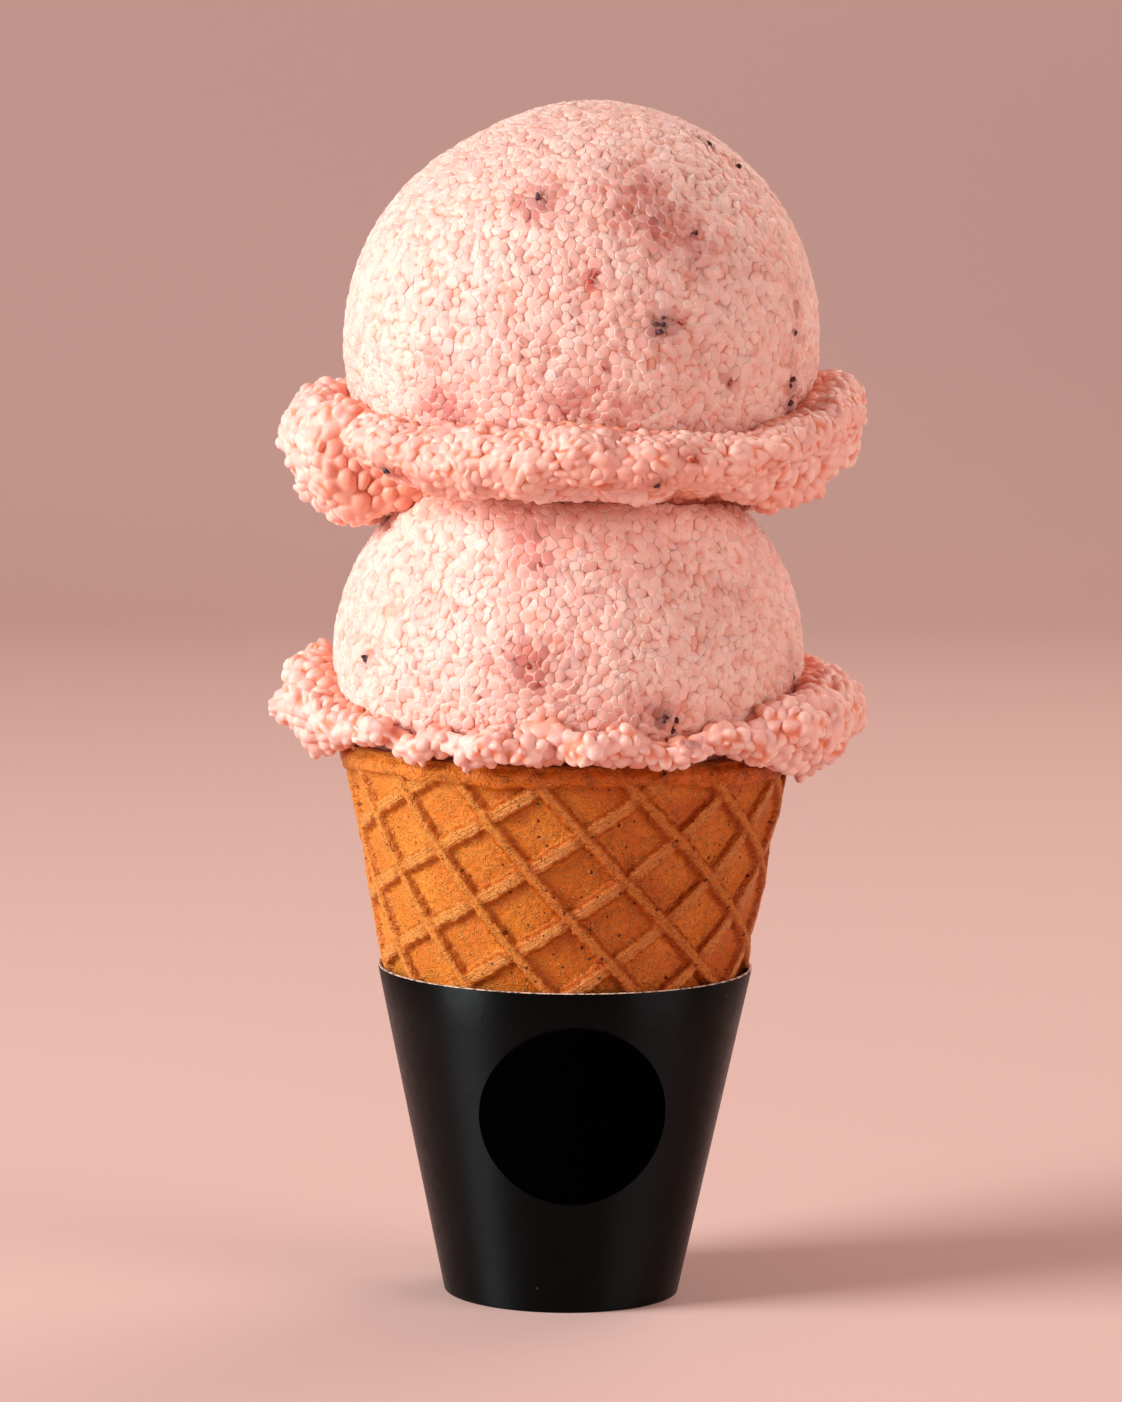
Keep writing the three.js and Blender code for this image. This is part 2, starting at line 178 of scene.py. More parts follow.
# Painted shade on the ice cream: where its colour is deepened for the shade in crevices, hollows,
# undersides and low parts: how deep at least, how much deeper at most, the span of azimuths by its
# centre and half width, and where it starts and is full by the distance from the ball's centre, by
# the distance from its axis and by height. None is where it doesn't matter.
UPPER_BALL_SHADES = [(0, 1.0, None, None, None, (109.5, 106.5))]
LOWER_BALL_SHADES = [(0, 0.3, None, None, None, (102, 106))]
LOWER_COLLAR_SHADES = [(0, 0.7, None, (34.2, 32.0), None, None)]
UPPER_COLLAR_SHADES = LOWER_COLLAR_SHADES + [
    (0, 0.75, (-53, 19), None, (37.8, 36.0), (118, 114)),
    (0, 0.5, (112, 48), (37.2, 34.6), None, (110, 113)),
    (0, 0.5, (85, 60), None, None, (110.5, 105.5)),
]
# The front roll has a slight peach tint of its own all over, and painted shade on its lower half
FRONT_ROLL_SHADES = LOWER_COLLAR_SHADES + [(0.08, 0.26, None, None, None, (116, 110))]

# Draws of the grains' random values
LEAN_DRAW, OPEN_DRAW, DEPTH_DRAW, TONE_DRAW = range(4)
RISE_DRAW, SHARE_DRAW, JITTER_DRAW, TILT_DRAW = range(4, 8)

# Inputs of the trees, by the kind of their sockets
GRAIN_SOCKETS = [
    ("Float", ["Jitter", "Rise", "Rise spread", "Lean", "Tilt", "Top share", "Top unevenness",
               "Bevel share", "Pit depth", "Pit chance", "Groove shade"]),
    ("Bool", ["Round"]), ("Int", ["Seed"]), ("Material", ["Material"]),
]
WAFFLE_SOCKETS = [
    ("Float", ["Half angle", "Falling top", "Rising top", "Rib foot", "Rib height",
               "Falling pitch", "Rising pitch", "Band height", "Band proud"]),
    ("Vector", ["Lattice start", "Falling count", "Rising count"]), ("Material", ["Material"]),
]

# How much of the stains, of the painted highlight on the rims and of the painted shade in the pits
# is seen
BLUSH_STRENGTH = 0.95
RIM_HIGHLIGHT_STRENGTH = 0.52
DUSK_STRENGTH = 0.8
PIT_SHADE_STRENGTH = 0.85

# How the stains break up: strength and size of two patterns in millimetres, how fast the pink
# fades, and the dark middle's reach as a share of the stain's
STAIN_PATTERNS = [(0.35, 5.3), (0.25, 2.9)]
STAIN_FADE = 1.3
DUSK_REACH = 0.55

# Chips of fruit: points on each, how the three of a speck share its size, how far aside and how
# high they sit, how ragged and how squashed they are
CHIP_POINTS = 60
CHIP_SHARES = (0.62, 0.5, 0.4)
CHIP_ASIDE = 0.2
CHIP_LIFT = 0.08
CHIP_RAGGEDNESS = 0.45
CHIP_RAGGED_SIZE = 1.7
CHIP_SQUASH = (0.6, 1.2)
# A speck comes in from this distance, and one that is given a greater distance than a ball's
# surface lands on the rolls
LANDING_FROM = 60
ROLLS_BEYOND = 32.5

# Directions of the waffle's ribs on the unrolled cone, in degrees
FALLING_ANGLE = -48.6
RISING_ANGLE = 33.8

# Height above which the waffle shows, and its gap to the card below
WAFFLE_SHOULDER = 42.6
SLEEVE_GAP = 0.3

# Uneven forms of the waffle, in metres: how far the ribs wander, how uneven the cells are, the
# blisters of the band, and how its edge waves, rises to the front and is ragged
RIB_WANDER = 0.0013
CELL_UNEVENNESS = 0.00035
BLISTER_HEIGHT = 0.0006
BAND_WAVES = 5.0
BAND_WAVE = 0.0003
BAND_RISE = 0.0008
BAND_RAGGEDNESS = 0.0022
# The rim is tucked in under the ice cream: from which height to which, and how far
TUCK_FROM = 0.0718
TUCK_TO = 0.0735
TUCK_DEPTH = 0.0012
# The lap at the back: width and height, and where it comes out of the sleeve
LAP_WIDTH = 0.011
LAP_HEIGHT = 0.0008
LAP_FROM = (0.0445, 0.05)

# Heights of the rows on the outside and the inside of the sleeve, the rounding of its rim, and
# the flap's height as a share of the card and where it begins, in millimetres
OUTER_LEVELS = [0.12, 0.5, 1.5, 6, 14, 22, 30, 38]
INNER_LEVELS = [38, 22, 6]
RIM_ROUNDING = 0.1
FLAP_SHARE = 0.8
FLAP_FOOT = 1
# Radius of the small cap that closes a turned surface at its middle
CAP_RADIUS = 0.01

# Colours beside those in the settings
# Painted highlight on the grains' rims
RIM_HIGHLIGHT_COLOUR = (1.0, 0.76, 0.67, 1)
DUSK_COLOUR = (0.17, 0.065, 0.06, 1)
# Painted shadow in the narrowest crevices
CREVICE_SHADOW_COLOUR = (0.3, 0.05, 0.025, 1)
SKIN_PATCH = (0.12, 0.03, 0.04, 1)
FLESH_PATCH = (0.3, 0.035, 0.02, 1)
AMBER_CRUST = (0.78, 0.28, 0.022, 1)
HAIRLINE_COLOUR = (0.92, 0.46, 0.1, 1)
PALE_STREAK = (0.98, 0.56, 0.18, 1)
DULL_RIB = (0.72, 0.25, 0.03, 1)
BAND_COLOUR = (0.66, 0.17, 0.004, 1)
PINHOLE_COLOUR = (0.09, 0.018, 0.004, 1)
# Painted light on the waffle's left and painted shade towards its right
PAINTED_LIGHT_PATCH = (0.82, 0.31, 0.055, 1)
PAINTED_SHADE_TINT = (0.8, 0.6, 0.55, 1)
DUST_COLOUR = (0.2, 0.16, 0.15, 1)
DARK_FIBRE = (0.16, 0.11, 0.09, 1)
LABEL_GRAIN = (0.0008, 0.0007, 0.0007, 1)

# Soft lights: name, place, width and height, power and colour, all turned to one target
LIGHT_TARGET = (0, 0, 0.09)
LIGHT_SPREAD = math.radians(140)
LIGHTS = [
    ("key", (-1.18, -0.5, 0.6), (0.6, 0.9), 16.0, (1, 0.98, 0.97)),
    ("fill", (1.15, -0.6, 0.45), (0.9, 0.7), 4.7, (1, 0.86, 0.82)),
    ("back", (0.5, 0.7, 0.8), (0.7, 0.5), 2.6, (1, 0.82, 0.74)),
]
SKY_COLOUR = (1, 0.56, 0.49, 1)
SKY_STRENGTH = 0.24

# Floor sheet in millimetres: its front edge, where it starts to bend up and with what radius,
# how far it goes to each side, and how high
FLOOR_FRONT = -2500
FLOOR_BEND = 900
FLOOR_RADIUS = 500
FLOOR_SIDE = 3000
FLOOR_TOP = 2500

# Fruit in the ice cream: azimuth and elevation from the ball's centre in degrees, distance from
# it and the stain's radius in millimetres, how pink it is, how dark it is, and the size of the
# speck in it: above 0 for dark skin, below 0 for red flesh, 0 for none
UPPER_FRUIT = [
    (-13, 36.6, 31.1, 3.6, 0.8, 0.6, 1.3),
    (-16, 35, 31.1, 1.6, 0.9, 0.0, 0),
    (8, 41, 31.1, 3.2, 0.4, 0.1, 0),
    (17, 37, 30.9, 5.4, 0.72, 0.2, 0),
    (22.6, 31, 30.9, 5.2, 0.76, 0.22, 0),
    (29, 25.5, 30.8, 4.0, 0.65, 0.2, 0),
    (31, 28, 30.8, 1.5, 0.9, 0.5, 0.9),
    (20, 32, 30.8, 1.4, 0.9, 0.6, 0),
    (1.7, 16.2, 30.6, 1.5, 1.0, 0.3, -1.0),
    (2.9, 18.0, 30.6, 1.2, 1.0, 0.2, -0.8),
    (18.3, 5.5, 31.1, 3.2, 0.4, 0.8, 1.5),
    (19.4, 7.6, 31.1, 1.4, 0.4, 0.6, 0.7),
    (23.5, 6.5, 31.1, 1.3, 0.8, 0.2, -0.8),
    (3.8, -8.4, 31.0, 1.3, 1.0, 0.1, -1.1),
    (5, -4.2, 31.1, 0.9, 0.9, 0.1, -0.6),
    (0, -11.2, 30.9, 2.2, 0.8, 0.0, 0),
    (-5, -13, 30.9, 2.6, 0.6, 0.0, 0),
    (10, -13, 30.9, 3.4, 0.5, 0.0, 0),
    (37.2, -7.7, 30.8, 1.9, 0.55, 0.6, -0.8),
    (60, 58, 31.3, 1.9, 0.3, 0.7, 0),
    (63, 55, 31.3, 1.9, 0.3, 0.9, 1.1),
    (66, 52, 31.3, 1.6, 0.3, 0.6, 0),
    (72, 47.5, 31.2, 1.9, 0.3, 0.8, 1.0),
    (74, 44, 31.2, 1.4, 0.3, 0.6, 0),
    (62.5, 14, 31.1, 1.8, 0.3, 0.4, 0),
    (63.4, 9, 31.1, 2.0, 0.35, 0.5, 0),
    (62, 3, 31.0, 1.8, 0.4, 0.5, 0.8),
    (61, -3, 31.0, 2.0, 0.45, 0.6, 0),
    (63, -9, 30.8, 2.2, 0.4, 0.9, 1.3),
    (64, -14, 30.8, 2.2, 0.5, 1.0, 1.4),
    (-37, 6, 31.0, 2.6, 0.35, 0.0, 0),
    (-36, -3, 31.0, 2.8, 0.5, 0.0, 0),
    (-38, -12, 31.2, 3.2, 0.65, 0.1, 0),
    (-34, -16, 31.2, 3.4, 0.7, 0.1, 0),
    (-44.3, -24.6, 38.7, 2.6, 0.3, 1.0, 1.5),
    (-41, -26.5, 38.7, 2.6, 0.85, 0.0, 0),
    (23, -20.5, 38.3, 2.0, 0.9, 0.2, -1.0),
    (15.5, -25.4, 39.3, 2.4, 0.5, 0.9, 1.0),
    (5, -27, 39.0, 2.2, 0.6, 0.4, 0),
    (120, 30, 31.2, 6.5, 0.75, 0.2, 0.9),
    (160, 5, 31.2, 3.5, 0.6, 0.6, 1.0),
    (200, 38, 31.2, 4.5, 0.6, 0.4, 0.7),
    (225, 2, 31.2, 6.0, 0.6, 0.2, 0),
    (100, 0, 31.2, 3.0, 0.5, 0.5, 0.7),
    (250, 30, 31.2, 2.6, 0.5, 0.8, 0.9),
    (185, -18, 37.5, 2.6, 0.6, 0.9, 1.1),
]
LOWER_FRUIT = [
    (-12, 34, 32.8, 3.8, 0.75, 0.0, 0),
    (-8, 30, 32.2, 2.4, 0.85, 0.1, -0.7),
    (-9.4, 6.3, 31.1, 4.2, 0.78, 0.1, -0.9),
    (-7, 2, 31.1, 2.2, 0.9, 0.4, -0.8),
    (-57, 5.1, 31.2, 2.2, 0.25, 0.95, 1.2),
    (-52, 9, 31.2, 1.8, 0.4, 0.1, 0),
    (19, -5, 31.0, 3.4, 0.5, 0.1, 0),
    (23, -6, 31.0, 2.6, 0.5, 0.9, 1.1),
    (26.5, -6.5, 33.0, 2.2, 0.4, 1.0, 1.0),
    (26, -9, 35.8, 2.2, 0.4, 0.9, 1.0),
    (70, 6, 31.0, 1.8, 0.5, 0.4, 0),
    (71, 0, 31.0, 2.0, 0.5, 0.7, 0.6),
    (110, 20, 31.2, 4.5, 0.65, 0.3, 0.8),
    (150, 0, 31.2, 5.5, 0.6, 0.1, 0),
    (190, 22, 31.2, 2.8, 0.5, 0.8, 1.0),
    (235, 8, 31.2, 5.0, 0.6, 0.4, 0.7),
    (205, -9, 37.5, 2.4, 0.5, 0.9, 1.0),
]


def a_length(name, description, default):
    return FloatProperty(name=name, description=description, default=default, unit="LENGTH")


def an_angle(name, description, default):
    return FloatProperty(name=name, description=description, default=default, subtype="ANGLE")


def a_step(name, description, default):
    return FloatVectorProperty(
        name=name, description=description, default=default, size=2, unit="LENGTH")


def a_colour(name, description, default):
    return FloatVectorProperty(
        name=name, description=description, default=default, size=4, subtype="COLOR")


class SleeveSettings(bpy.types.PropertyGroup):
    """Card sleeve and its round label"""

    base_radius: a_length("Base radius", "Radius of the face it stands on", 0.0155)
    rim_radius: a_length("Rim radius", "Outer radius of the rim", 0.02477)
    height: a_length("Height", "Height of the rim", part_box("paper_sleeve")[1][2])
    wall: a_length("Card", "Thickness of the card", 0.00045)
    floor: a_length("Floor", "Thickness of the floor", 0.0009)
    lap: a_length("Lap", "Width of the glued lap at the back", 0.007)
    label_radius: a_length("Label radius", "Radius of the round label", 0.012)
    label_height: a_length("Label height", "Height of the label's centre", 0.027)
    label_azimuth: an_angle("Label azimuth", "Direction that the label faces", math.radians(3.8))
    label_lift: a_length("Label face", "Height of the label's face over the card", 0.0003)
    card_colour: a_colour("Card colour", "Coated face of the card", (0.0012, 0.0011, 0.0012, 1))
    edge_colour: a_colour("Edge colour", "Cut edge of the card", (0.8, 0.6, 0.48, 1))
    label_colour: a_colour("Label colour", "Face of the label", (0.0004, 0.0004, 0.0004, 1))


class WaffleSettings(bpy.types.PropertyGroup):
    """Rolled waffle cone"""

    radius: a_length("Radius", "Outer radius at the radius height", 0.02427)
    radius_height: a_length("Radius height", "Height at which the radius is given", 0.044)
    taper: FloatProperty(
        name="Taper", description="Growth of the radius for each unit of height", default=0.19)
    rim_height: a_length("Rim height", "Height of the cone's rim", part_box("waffle_cone")[1][2])
    foot_height: a_length("Foot height", "Height of the cone's foot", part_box("waffle_cone")[0][2])
    wall: a_length("Wall", "Thickness of the wall", 0.0028)
    lattice_start: a_step("Lattice start", "One crossing on the unrolled cone", (0.00062, 0.1394))
    falling_step: a_step(
        "Falling step", "Way from crossing to crossing along a falling rib", (0.00561, -0.00636))
    rising_step: a_step(
        "Rising step", "Way from crossing to crossing along a rising rib", (0.0073, 0.00489))
    falling_top: a_length("Falling top", "Width of a falling rib's flat top", 0.0007)
    rising_top: a_length("Rising top", "Width of a rising rib's flat top", 0.0013)
    rib_foot: a_length("Rib foot", "Width of a rib at its foot", 0.0028)
    rib_height: a_length("Rib height", "Height of the ribs over the cells", 0.00115)
    band_height: a_length("Band height", "Lower edge of the rim band", 0.07)
    band_proud: a_length("Band proud", "How far the rim band stands out", 0.00035)
    crust_colour: a_colour("Crust", "Baked floor of the cells", (0.63, 0.165, 0.008, 1))
    rib_colour: a_colour("Ribs", "Paler tops of the ribs", (0.9, 0.41, 0.08, 1))
    # Darker colour on the ribs' slopes: painted shade
    slope_shade_colour: a_colour("Walls", "Slopes between the ribs and the cells", (0.48, 0.1, 0.004, 1))
    toast_colour: a_colour("Toast", "Darkest baked places", (0.2, 0.045, 0.008, 1))


class IceCreamSettings(bpy.types.PropertyGroup):
    """Balls, collars and fruit"""

    ball_radius: a_length("Ball radius", "Radius of both balls", 0.0312)
    lower_height: a_length("Lower ball", "Height of the lower ball's centre", 0.083)
    upper_height: a_length("Upper ball", "Height of the upper ball's centre", 0.1263)
    upper_shift: a_length("Upper shift", "How far the upper ball sits to the right", 0.0012)
    grain_size: a_length("Grain size", "Distance between the grains on the balls", 0.00116)
    grain_relief: a_length("Grain relief", "Height of the grains", 0.00013)
    pit_depth: a_length("Pit depth", "Depth of the pits between grains", 0.00038)
    knob_size: a_length("Bead size", "Distance between the beads on the collars", 0.00195)
    bead_rise: a_length("Bead rise", "Height of the beads on the collars", 0.00105)
    pale_colour: a_colour("Pale", "Tops of the grains", (0.89, 0.595, 0.525, 1))
    # Colour of the painted shade in pits, grooves and crevices
    pit_shade_colour: a_colour("Deep", "Pits and crevices", (0.82, 0.24, 0.1, 1))
    blush_colour: a_colour("Blush", "Stains of fruit juice", (0.6, 0.13, 0.11, 1))
    skin_colour: a_colour("Fruit skin", "Dark specks of fruit", (0.03, 0.012, 0.02, 1))
    flesh_colour: a_colour("Fruit flesh", "Red specks of fruit", (0.5, 0.07, 0.04, 1))
    seed: IntProperty(name="Seed", description="Start of every random draw", default=7)


class StageSettings(bpy.types.PropertyGroup):
    """Camera, floor and lights"""

    distance: a_length("Distance", "Camera's distance in front", 0.741)
    eye_height: a_length("Eye height", "Camera's height", 0.162)
    aim_height: a_length("Aim height", "Height that it looks at", 0.0786)
    aside: a_length("Aside", "Sideways place of camera and aim", -0.00094)
    roll: an_angle("Roll", "Turn about the line of sight", math.radians(0.7))
    lens: FloatProperty(name="Lens", description="Focal length in millimetres", default=145.5)
    floor_colour: a_colour("Floor", "Floor and backdrop", (0.77, 0.56, 0.51, 1))


# Meshes and objects

def onto_azimuth(azimuth, radius, height):
    """Points from azimuths in degrees, distances from the axis and heights."""
    angle = np.radians(azimuth)
    radius, angle, height = np.broadcast_arrays(radius, angle, height)
    return np.stack([radius * np.sin(angle), -radius * np.cos(angle), height], -1)


def outwards_at(azimuth, elevation):
    """The direction of an azimuth and an elevation in degrees."""
    level = math.cos(math.radians(elevation))
    return onto_azimuth(azimuth, level, math.sin(math.radians(elevation)))


def span(values, low, high):
    """0 at low and 1 at high, clipped."""
    return np.clip((values - low) / (high - low), 0, 1)


def eased(part):
    """An even rise from 0 to 1 with a soft start and end."""
    return part ** 2 * (3 - 2 * part)


def new_object(name, points, faces, materials, smooth=True):
    """A mesh object from points in millimetres."""
    mesh = bpy.data.meshes.new(name)
    corners = [list(map(int, face)) for face in faces]
    mesh.from_pydata((np.asarray(points) * MM).tolist(), [], corners)
    mesh.validate()
    for material in materials:
        mesh.materials.append(material)
    mesh.polygons.foreach_set("use_smooth", [smooth] * len(mesh.polygons))
    piece = bpy.data.objects.new(name, mesh)
    bpy.context.scene.collection.objects.link(piece)
    return piece


def mesh_points(mesh):
    """A mesh's points in millimetres."""
    points = np.empty(len(mesh.vertices) * 3)
    mesh.vertices.foreach_get("co", points)
    return points.reshape(-1, 3) / MM


def store(mesh, name, values, domain="POINT"):
    """A number for each point or face, under a name that the materials read."""
    layer = mesh.attributes.new(name, "FLOAT", domain)
    layer.data.foreach_set("value", np.asarray(values, dtype=np.float32))


def finished(piece, slot, *nodes):
    """Puts a piece in the frame: it rides on the body and stands for its nodes."""
    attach(piece, BODY)
    if nodes:
        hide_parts(*nodes)
    return piece


def made_plain(piece):
    """A piece's modifiers turned into a plain mesh."""
    seen = piece.evaluated_get(bpy.context.evaluated_depsgraph_get())
    mesh = bpy.data.meshes.new_from_object(seen)
    piece.modifiers.clear()
    piece.data = mesh
    return piece


def grid_quads(rows, columns, wrap_rows, wrap_columns):
    """Quads between the points of a grid, in which the first index is the row."""
    row = np.arange(rows if wrap_rows else rows - 1)
    column = np.arange(columns if wrap_columns else columns - 1)
    here, there = np.meshgrid(row, column, indexing="ij")
    after = (here + 1) % rows
    beside = (there + 1) % columns
    corners = [here * columns + there, after * columns + there, after * columns + beside,
               here * columns + beside]
    return np.stack(corners, -1).reshape(-1, 4)


# Node trees

def feed(tree, node, inputs):
    """A node's inputs: a socket is linked, and any other value is set."""
    pairs = inputs.items() if isinstance(inputs, dict) else enumerate(inputs)
    for key, value in pairs:
        if isinstance(value, bpy.types.NodeSocket):
            tree.links.new(value, node.inputs[key])
        elif value is not None:
            node.inputs[key].default_value = value


def put(tree, kind, inputs=(), **settings):
    """A new node with its settings and inputs."""
    node = tree.nodes.new(kind)
    for name, value in settings.items():
        setattr(node, name, value)
    feed(tree, node, inputs)
    return node


def maths(tree, operation, *values):
    return put(tree, "ShaderNodeMath", values, operation=operation).outputs[0]


def plus(tree, first, second):
    return maths(tree, "ADD", first, second)


def minus(tree, first, second):
    return maths(tree, "SUBTRACT", first, second)


def times(tree, first, second):
    return maths(tree, "MULTIPLY", first, second)


def vectors(tree, operation, *values):
    node = put(tree, "ShaderNodeVectorMath", values, operation=operation)
    return node.outputs["Value" if operation in ("LENGTH", "DOT_PRODUCT") else "Vector"]


def along(tree, vector, length):
    """A vector times a number."""
    return vectors(tree, "SCALE", vector, None, None, length)


def ramped(tree, value, low, high, start=0.0, end=1.0):
    """The value between low and high turned smoothly into start to end."""
    inputs = {"Value": value, "From Min": low, "From Max": high, "To Min": start, "To Max": end}
    node = put(tree, "ShaderNodeMapRange", inputs, interpolation_type="SMOOTHSTEP")
    return node.outputs[0]


def mixed(tree, factor, first, second, blend="MIX"):
    """Two colours mixed."""
    inputs = {0: factor, 6: first, 7: second}
    return put(tree, "ShaderNodeMix", inputs, data_type="RGBA", blend_type=blend).outputs[2]


def noise(tree, place, scale, detail=2.0, roughness=0.5):
    inputs = {"Vector": place, "Scale": scale, "Detail": detail, "Roughness": roughness}
    return put(tree, "ShaderNodeTexNoise", inputs).outputs[0]


def uneven(tree, place, scale, height, middle=0.5, roughness=0.5):
    """Noise about a middle value, times a height."""
    about = minus(tree, noise(tree, place, scale, 3.0, roughness), middle)
    return times(tree, about, height)


def attribute(tree, name, output="Fac"):
    return put(tree, "ShaderNodeAttribute", attribute_name=name).outputs[output]


def new_material(name):
    """A material, its tree and shader, and the place on the piece."""
    material = bpy.data.materials.new(name)
    material.use_nodes = True
    tree = material.node_tree
    place = put(tree, "ShaderNodeTexCoord").outputs["Object"]
    return material, tree, tree.nodes["Principled BSDF"], place


def bumped(tree, shader, height, distance, strength=1.0):
    """A fine relief on a shader, with its height in metres."""
    inputs = {"Height": height, "Distance": distance, "Strength": strength}
    feed(tree, shader, {"Normal": put(tree, "ShaderNodeBump", inputs).outputs[0]})


# Materials

def ice_cream_colour(tree, place, settings):
    """Pale grains with a painted highlight on their rims, painted shade in their pits and crevices,
    and stains of fruit juice.
    """
    pale = settings.pale_colour
    milky = tuple(min(1, part * 1.12) for part in pale[:3]) + (1,)
    rosy = (pale[0] * 0.97, pale[1] * 0.86, pale[2] * 0.86, 1)
    tone = maths(tree, "MULTIPLY_ADD", attribute(tree, "tone"), 0.5, noise(tree, place, 90.0, 3.0))
    ground = mixed(tree, ramped(tree, tone, 0.4, 1.1), milky, rosy)
    blush = times(tree, attribute(tree, "blush"), BLUSH_STRENGTH)
    stained = mixed(tree, blush, ground, tuple(settings.blush_colour))
    # Painted highlight: paler rims on the grains' tops
    rim = times(tree, attribute(tree, "rim"), RIM_HIGHLIGHT_STRENGTH)
    rim_highlighted = mixed(tree, rim, stained, RIM_HIGHLIGHT_COLOUR)
    dusk = times(tree, attribute(tree, "dusk"), DUSK_STRENGTH)
    dark = mixed(tree, dusk, rim_highlighted, DUSK_COLOUR)
    # Painted shade: pits, grooves, crevices and undersides get the deep colour
    shade = attribute(tree, "shade")
    pit_and_crevice_shade = maths(tree, "MAXIMUM", ramped(tree, attribute(tree, "pit"), 0.25, 1.0), shade)
    pitted = times(tree, pit_and_crevice_shade, PIT_SHADE_STRENGTH)
    deep = mixed(tree, pitted, dark, tuple(settings.pit_shade_colour))
    # Painted shadow: the darkest colour in the narrowest crevices
    return mixed(tree, ramped(tree, shade, 0.75, 1.0), deep, CREVICE_SHADOW_COLOUR)


def ice_cream_material(settings):
    material, tree, shader, place = new_material("pink_ice_cream")
    feed(tree, shader, {
        "Base Color": ice_cream_colour(tree, place, settings),
        "Subsurface Weight": 0.5,
        "Subsurface Radius": (1.0, 0.45, 0.28),
        "Subsurface Scale": 0.0014,
        "IOR": 1.4,
        "Specular IOR Level": 0.45,
        "Roughness": ramped(tree, noise(tree, place, 700.0, 3.0), 0.3, 0.7, 0.3, 0.6),
    })
    bumped(tree, shader, noise(tree, place, 1500.0, 3.0, 0.6), 0.00012, 0.5)
    return material


def fruit_material(settings):
    material, tree, shader, place = new_material("fruit_skin")
    patch = ramped(tree, noise(tree, place, 900.0), 0.4, 0.7)
    skin = mixed(tree, patch, tuple(settings.skin_colour), SKIN_PATCH)
    flesh = mixed(tree, patch, tuple(settings.flesh_colour), FLESH_PATCH)
    colour = mixed(tree, attribute(tree, "flesh"), skin, flesh)
    feed(tree, shader, {"Base Color": colour, "Roughness": 0.35})
    bumped(tree, shader, noise(tree, place, 2500.0), 0.0001)
    return material


def streaks(tree, flat, angle):
    """Fine streaks on the unrolled cone that run at an angle in degrees."""
    turned = put(tree, "ShaderNodeVectorRotate", {"Vector": flat, "Angle": math.radians(-angle)},
                 rotation_type="Z_AXIS").outputs[0]
    drawn_out = vectors(tree, "MULTIPLY", turned, (0.3, 3.0, 1.0))
    return noise(tree, drawn_out, 1.0, 3.0, 0.6)


def hairlines(tree, flat):
    """Curly hairlines that follow the contour lines of a slow noise."""
    slow = noise(tree, flat, 0.75, 1.0)
    contour = maths(tree, "PINGPONG", times(tree, slow, 5.0), 0.5)
    line = ramped(tree, contour, 0.03, 0.16, 1.0, 0.0)
    broken = ramped(tree, noise(tree, flat, 1.1, 0.0), 0.4, 0.5)
    return times(tree, line, broken)


def pinholes(tree, flat, pace, low, largest):
    """Small dark holes, each at a random place of its own cell and of a random size."""
    wander = put(tree, "ShaderNodeTexNoise", {"Vector": flat, "Scale": 3.0}).outputs["Color"]
    shaky = vectors(tree, "ADD", flat, along(tree, wander, 0.3))
    holes = put(tree, "ShaderNodeTexVoronoi", {"Vector": shaky, "Scale": pace, "Randomness": 1.0})
    luck = put(tree, "ShaderNodeSeparateColor", [holes.outputs["Color"]]).outputs[0]
    size = ramped(tree, luck, low, 1.0, -0.05, largest)
    inside = minus(tree, holes.outputs["Distance"], size)
    return ramped(tree, inside, -0.03, 0.03, 1.0, 0.0)


def rib_streaks(tree, flat, falling, rising):
    """Streaks that run along the ribs of both directions."""
    first = times(tree, streaks(tree, flat, FALLING_ANGLE), falling)
    second = times(tree, streaks(tree, flat, RISING_ANGLE), rising)
    return maths(tree, "MAXIMUM", first, second)


def cell_floor(tree, place, fine, hair, settings):
    """Baked floor of the cells, with toasted specks and curly hairlines."""
    blotch = ramped(tree, noise(tree, place, 130.0, 3.0), 0.35, 0.7)
    floor = mixed(tree, blotch, tuple(settings.crust_colour), AMBER_CRUST)
    specks = ramped(tree, fine, 0.45, 0.72, 0.0, 0.4)
    speckled = mixed(tree, specks, floor, tuple(settings.toast_colour))
    return mixed(tree, times(tree, hair, 0.75), speckled, HAIRLINE_COLOUR)


def ribbed(tree, floor, streak, falling, rib, settings):
    """Paler ribs over the cells' floor, duller where they fall, with painted shade that darkens
    their slopes.
    """
    pale = mixed(tree, ramped(tree, streak, 0.42, 0.62), tuple(settings.rib_colour), PALE_STREAK)
    duller = mixed(tree, ramped(tree, falling, 0.5, 0.9, 0.0, 0.8), pale, DULL_RIB)
    topped = mixed(tree, ramped(tree, rib, 0.55, 0.95), floor, duller)
    slope_shade_mask = times(tree, rib, minus(tree, 1.0, rib))
    return mixed(tree, times(tree, slope_shade_mask, 3.4), topped, tuple(settings.slope_shade_colour))


def baked(tree, place, colour):
    """Painted light on the left and painted shade towards the right: lighter patches on the left,
    and a browner tint towards the right.
    """
    across = put(tree, "ShaderNodeSeparateXYZ", [place]).outputs[0]
    drift = minus(tree, noise(tree, place, 60.0), 0.5)
    patchy = maths(tree, "MULTIPLY_ADD", drift, 0.012, across)
    lit_patches = mixed(tree, ramped(tree, patchy, -0.028, -0.004, 0.4, 0.0), colour, PAINTED_LIGHT_PATCH)
    return mixed(tree, ramped(tree, patchy, -0.024, 0.012), lit_patches, PAINTED_SHADE_TINT, "MULTIPLY")


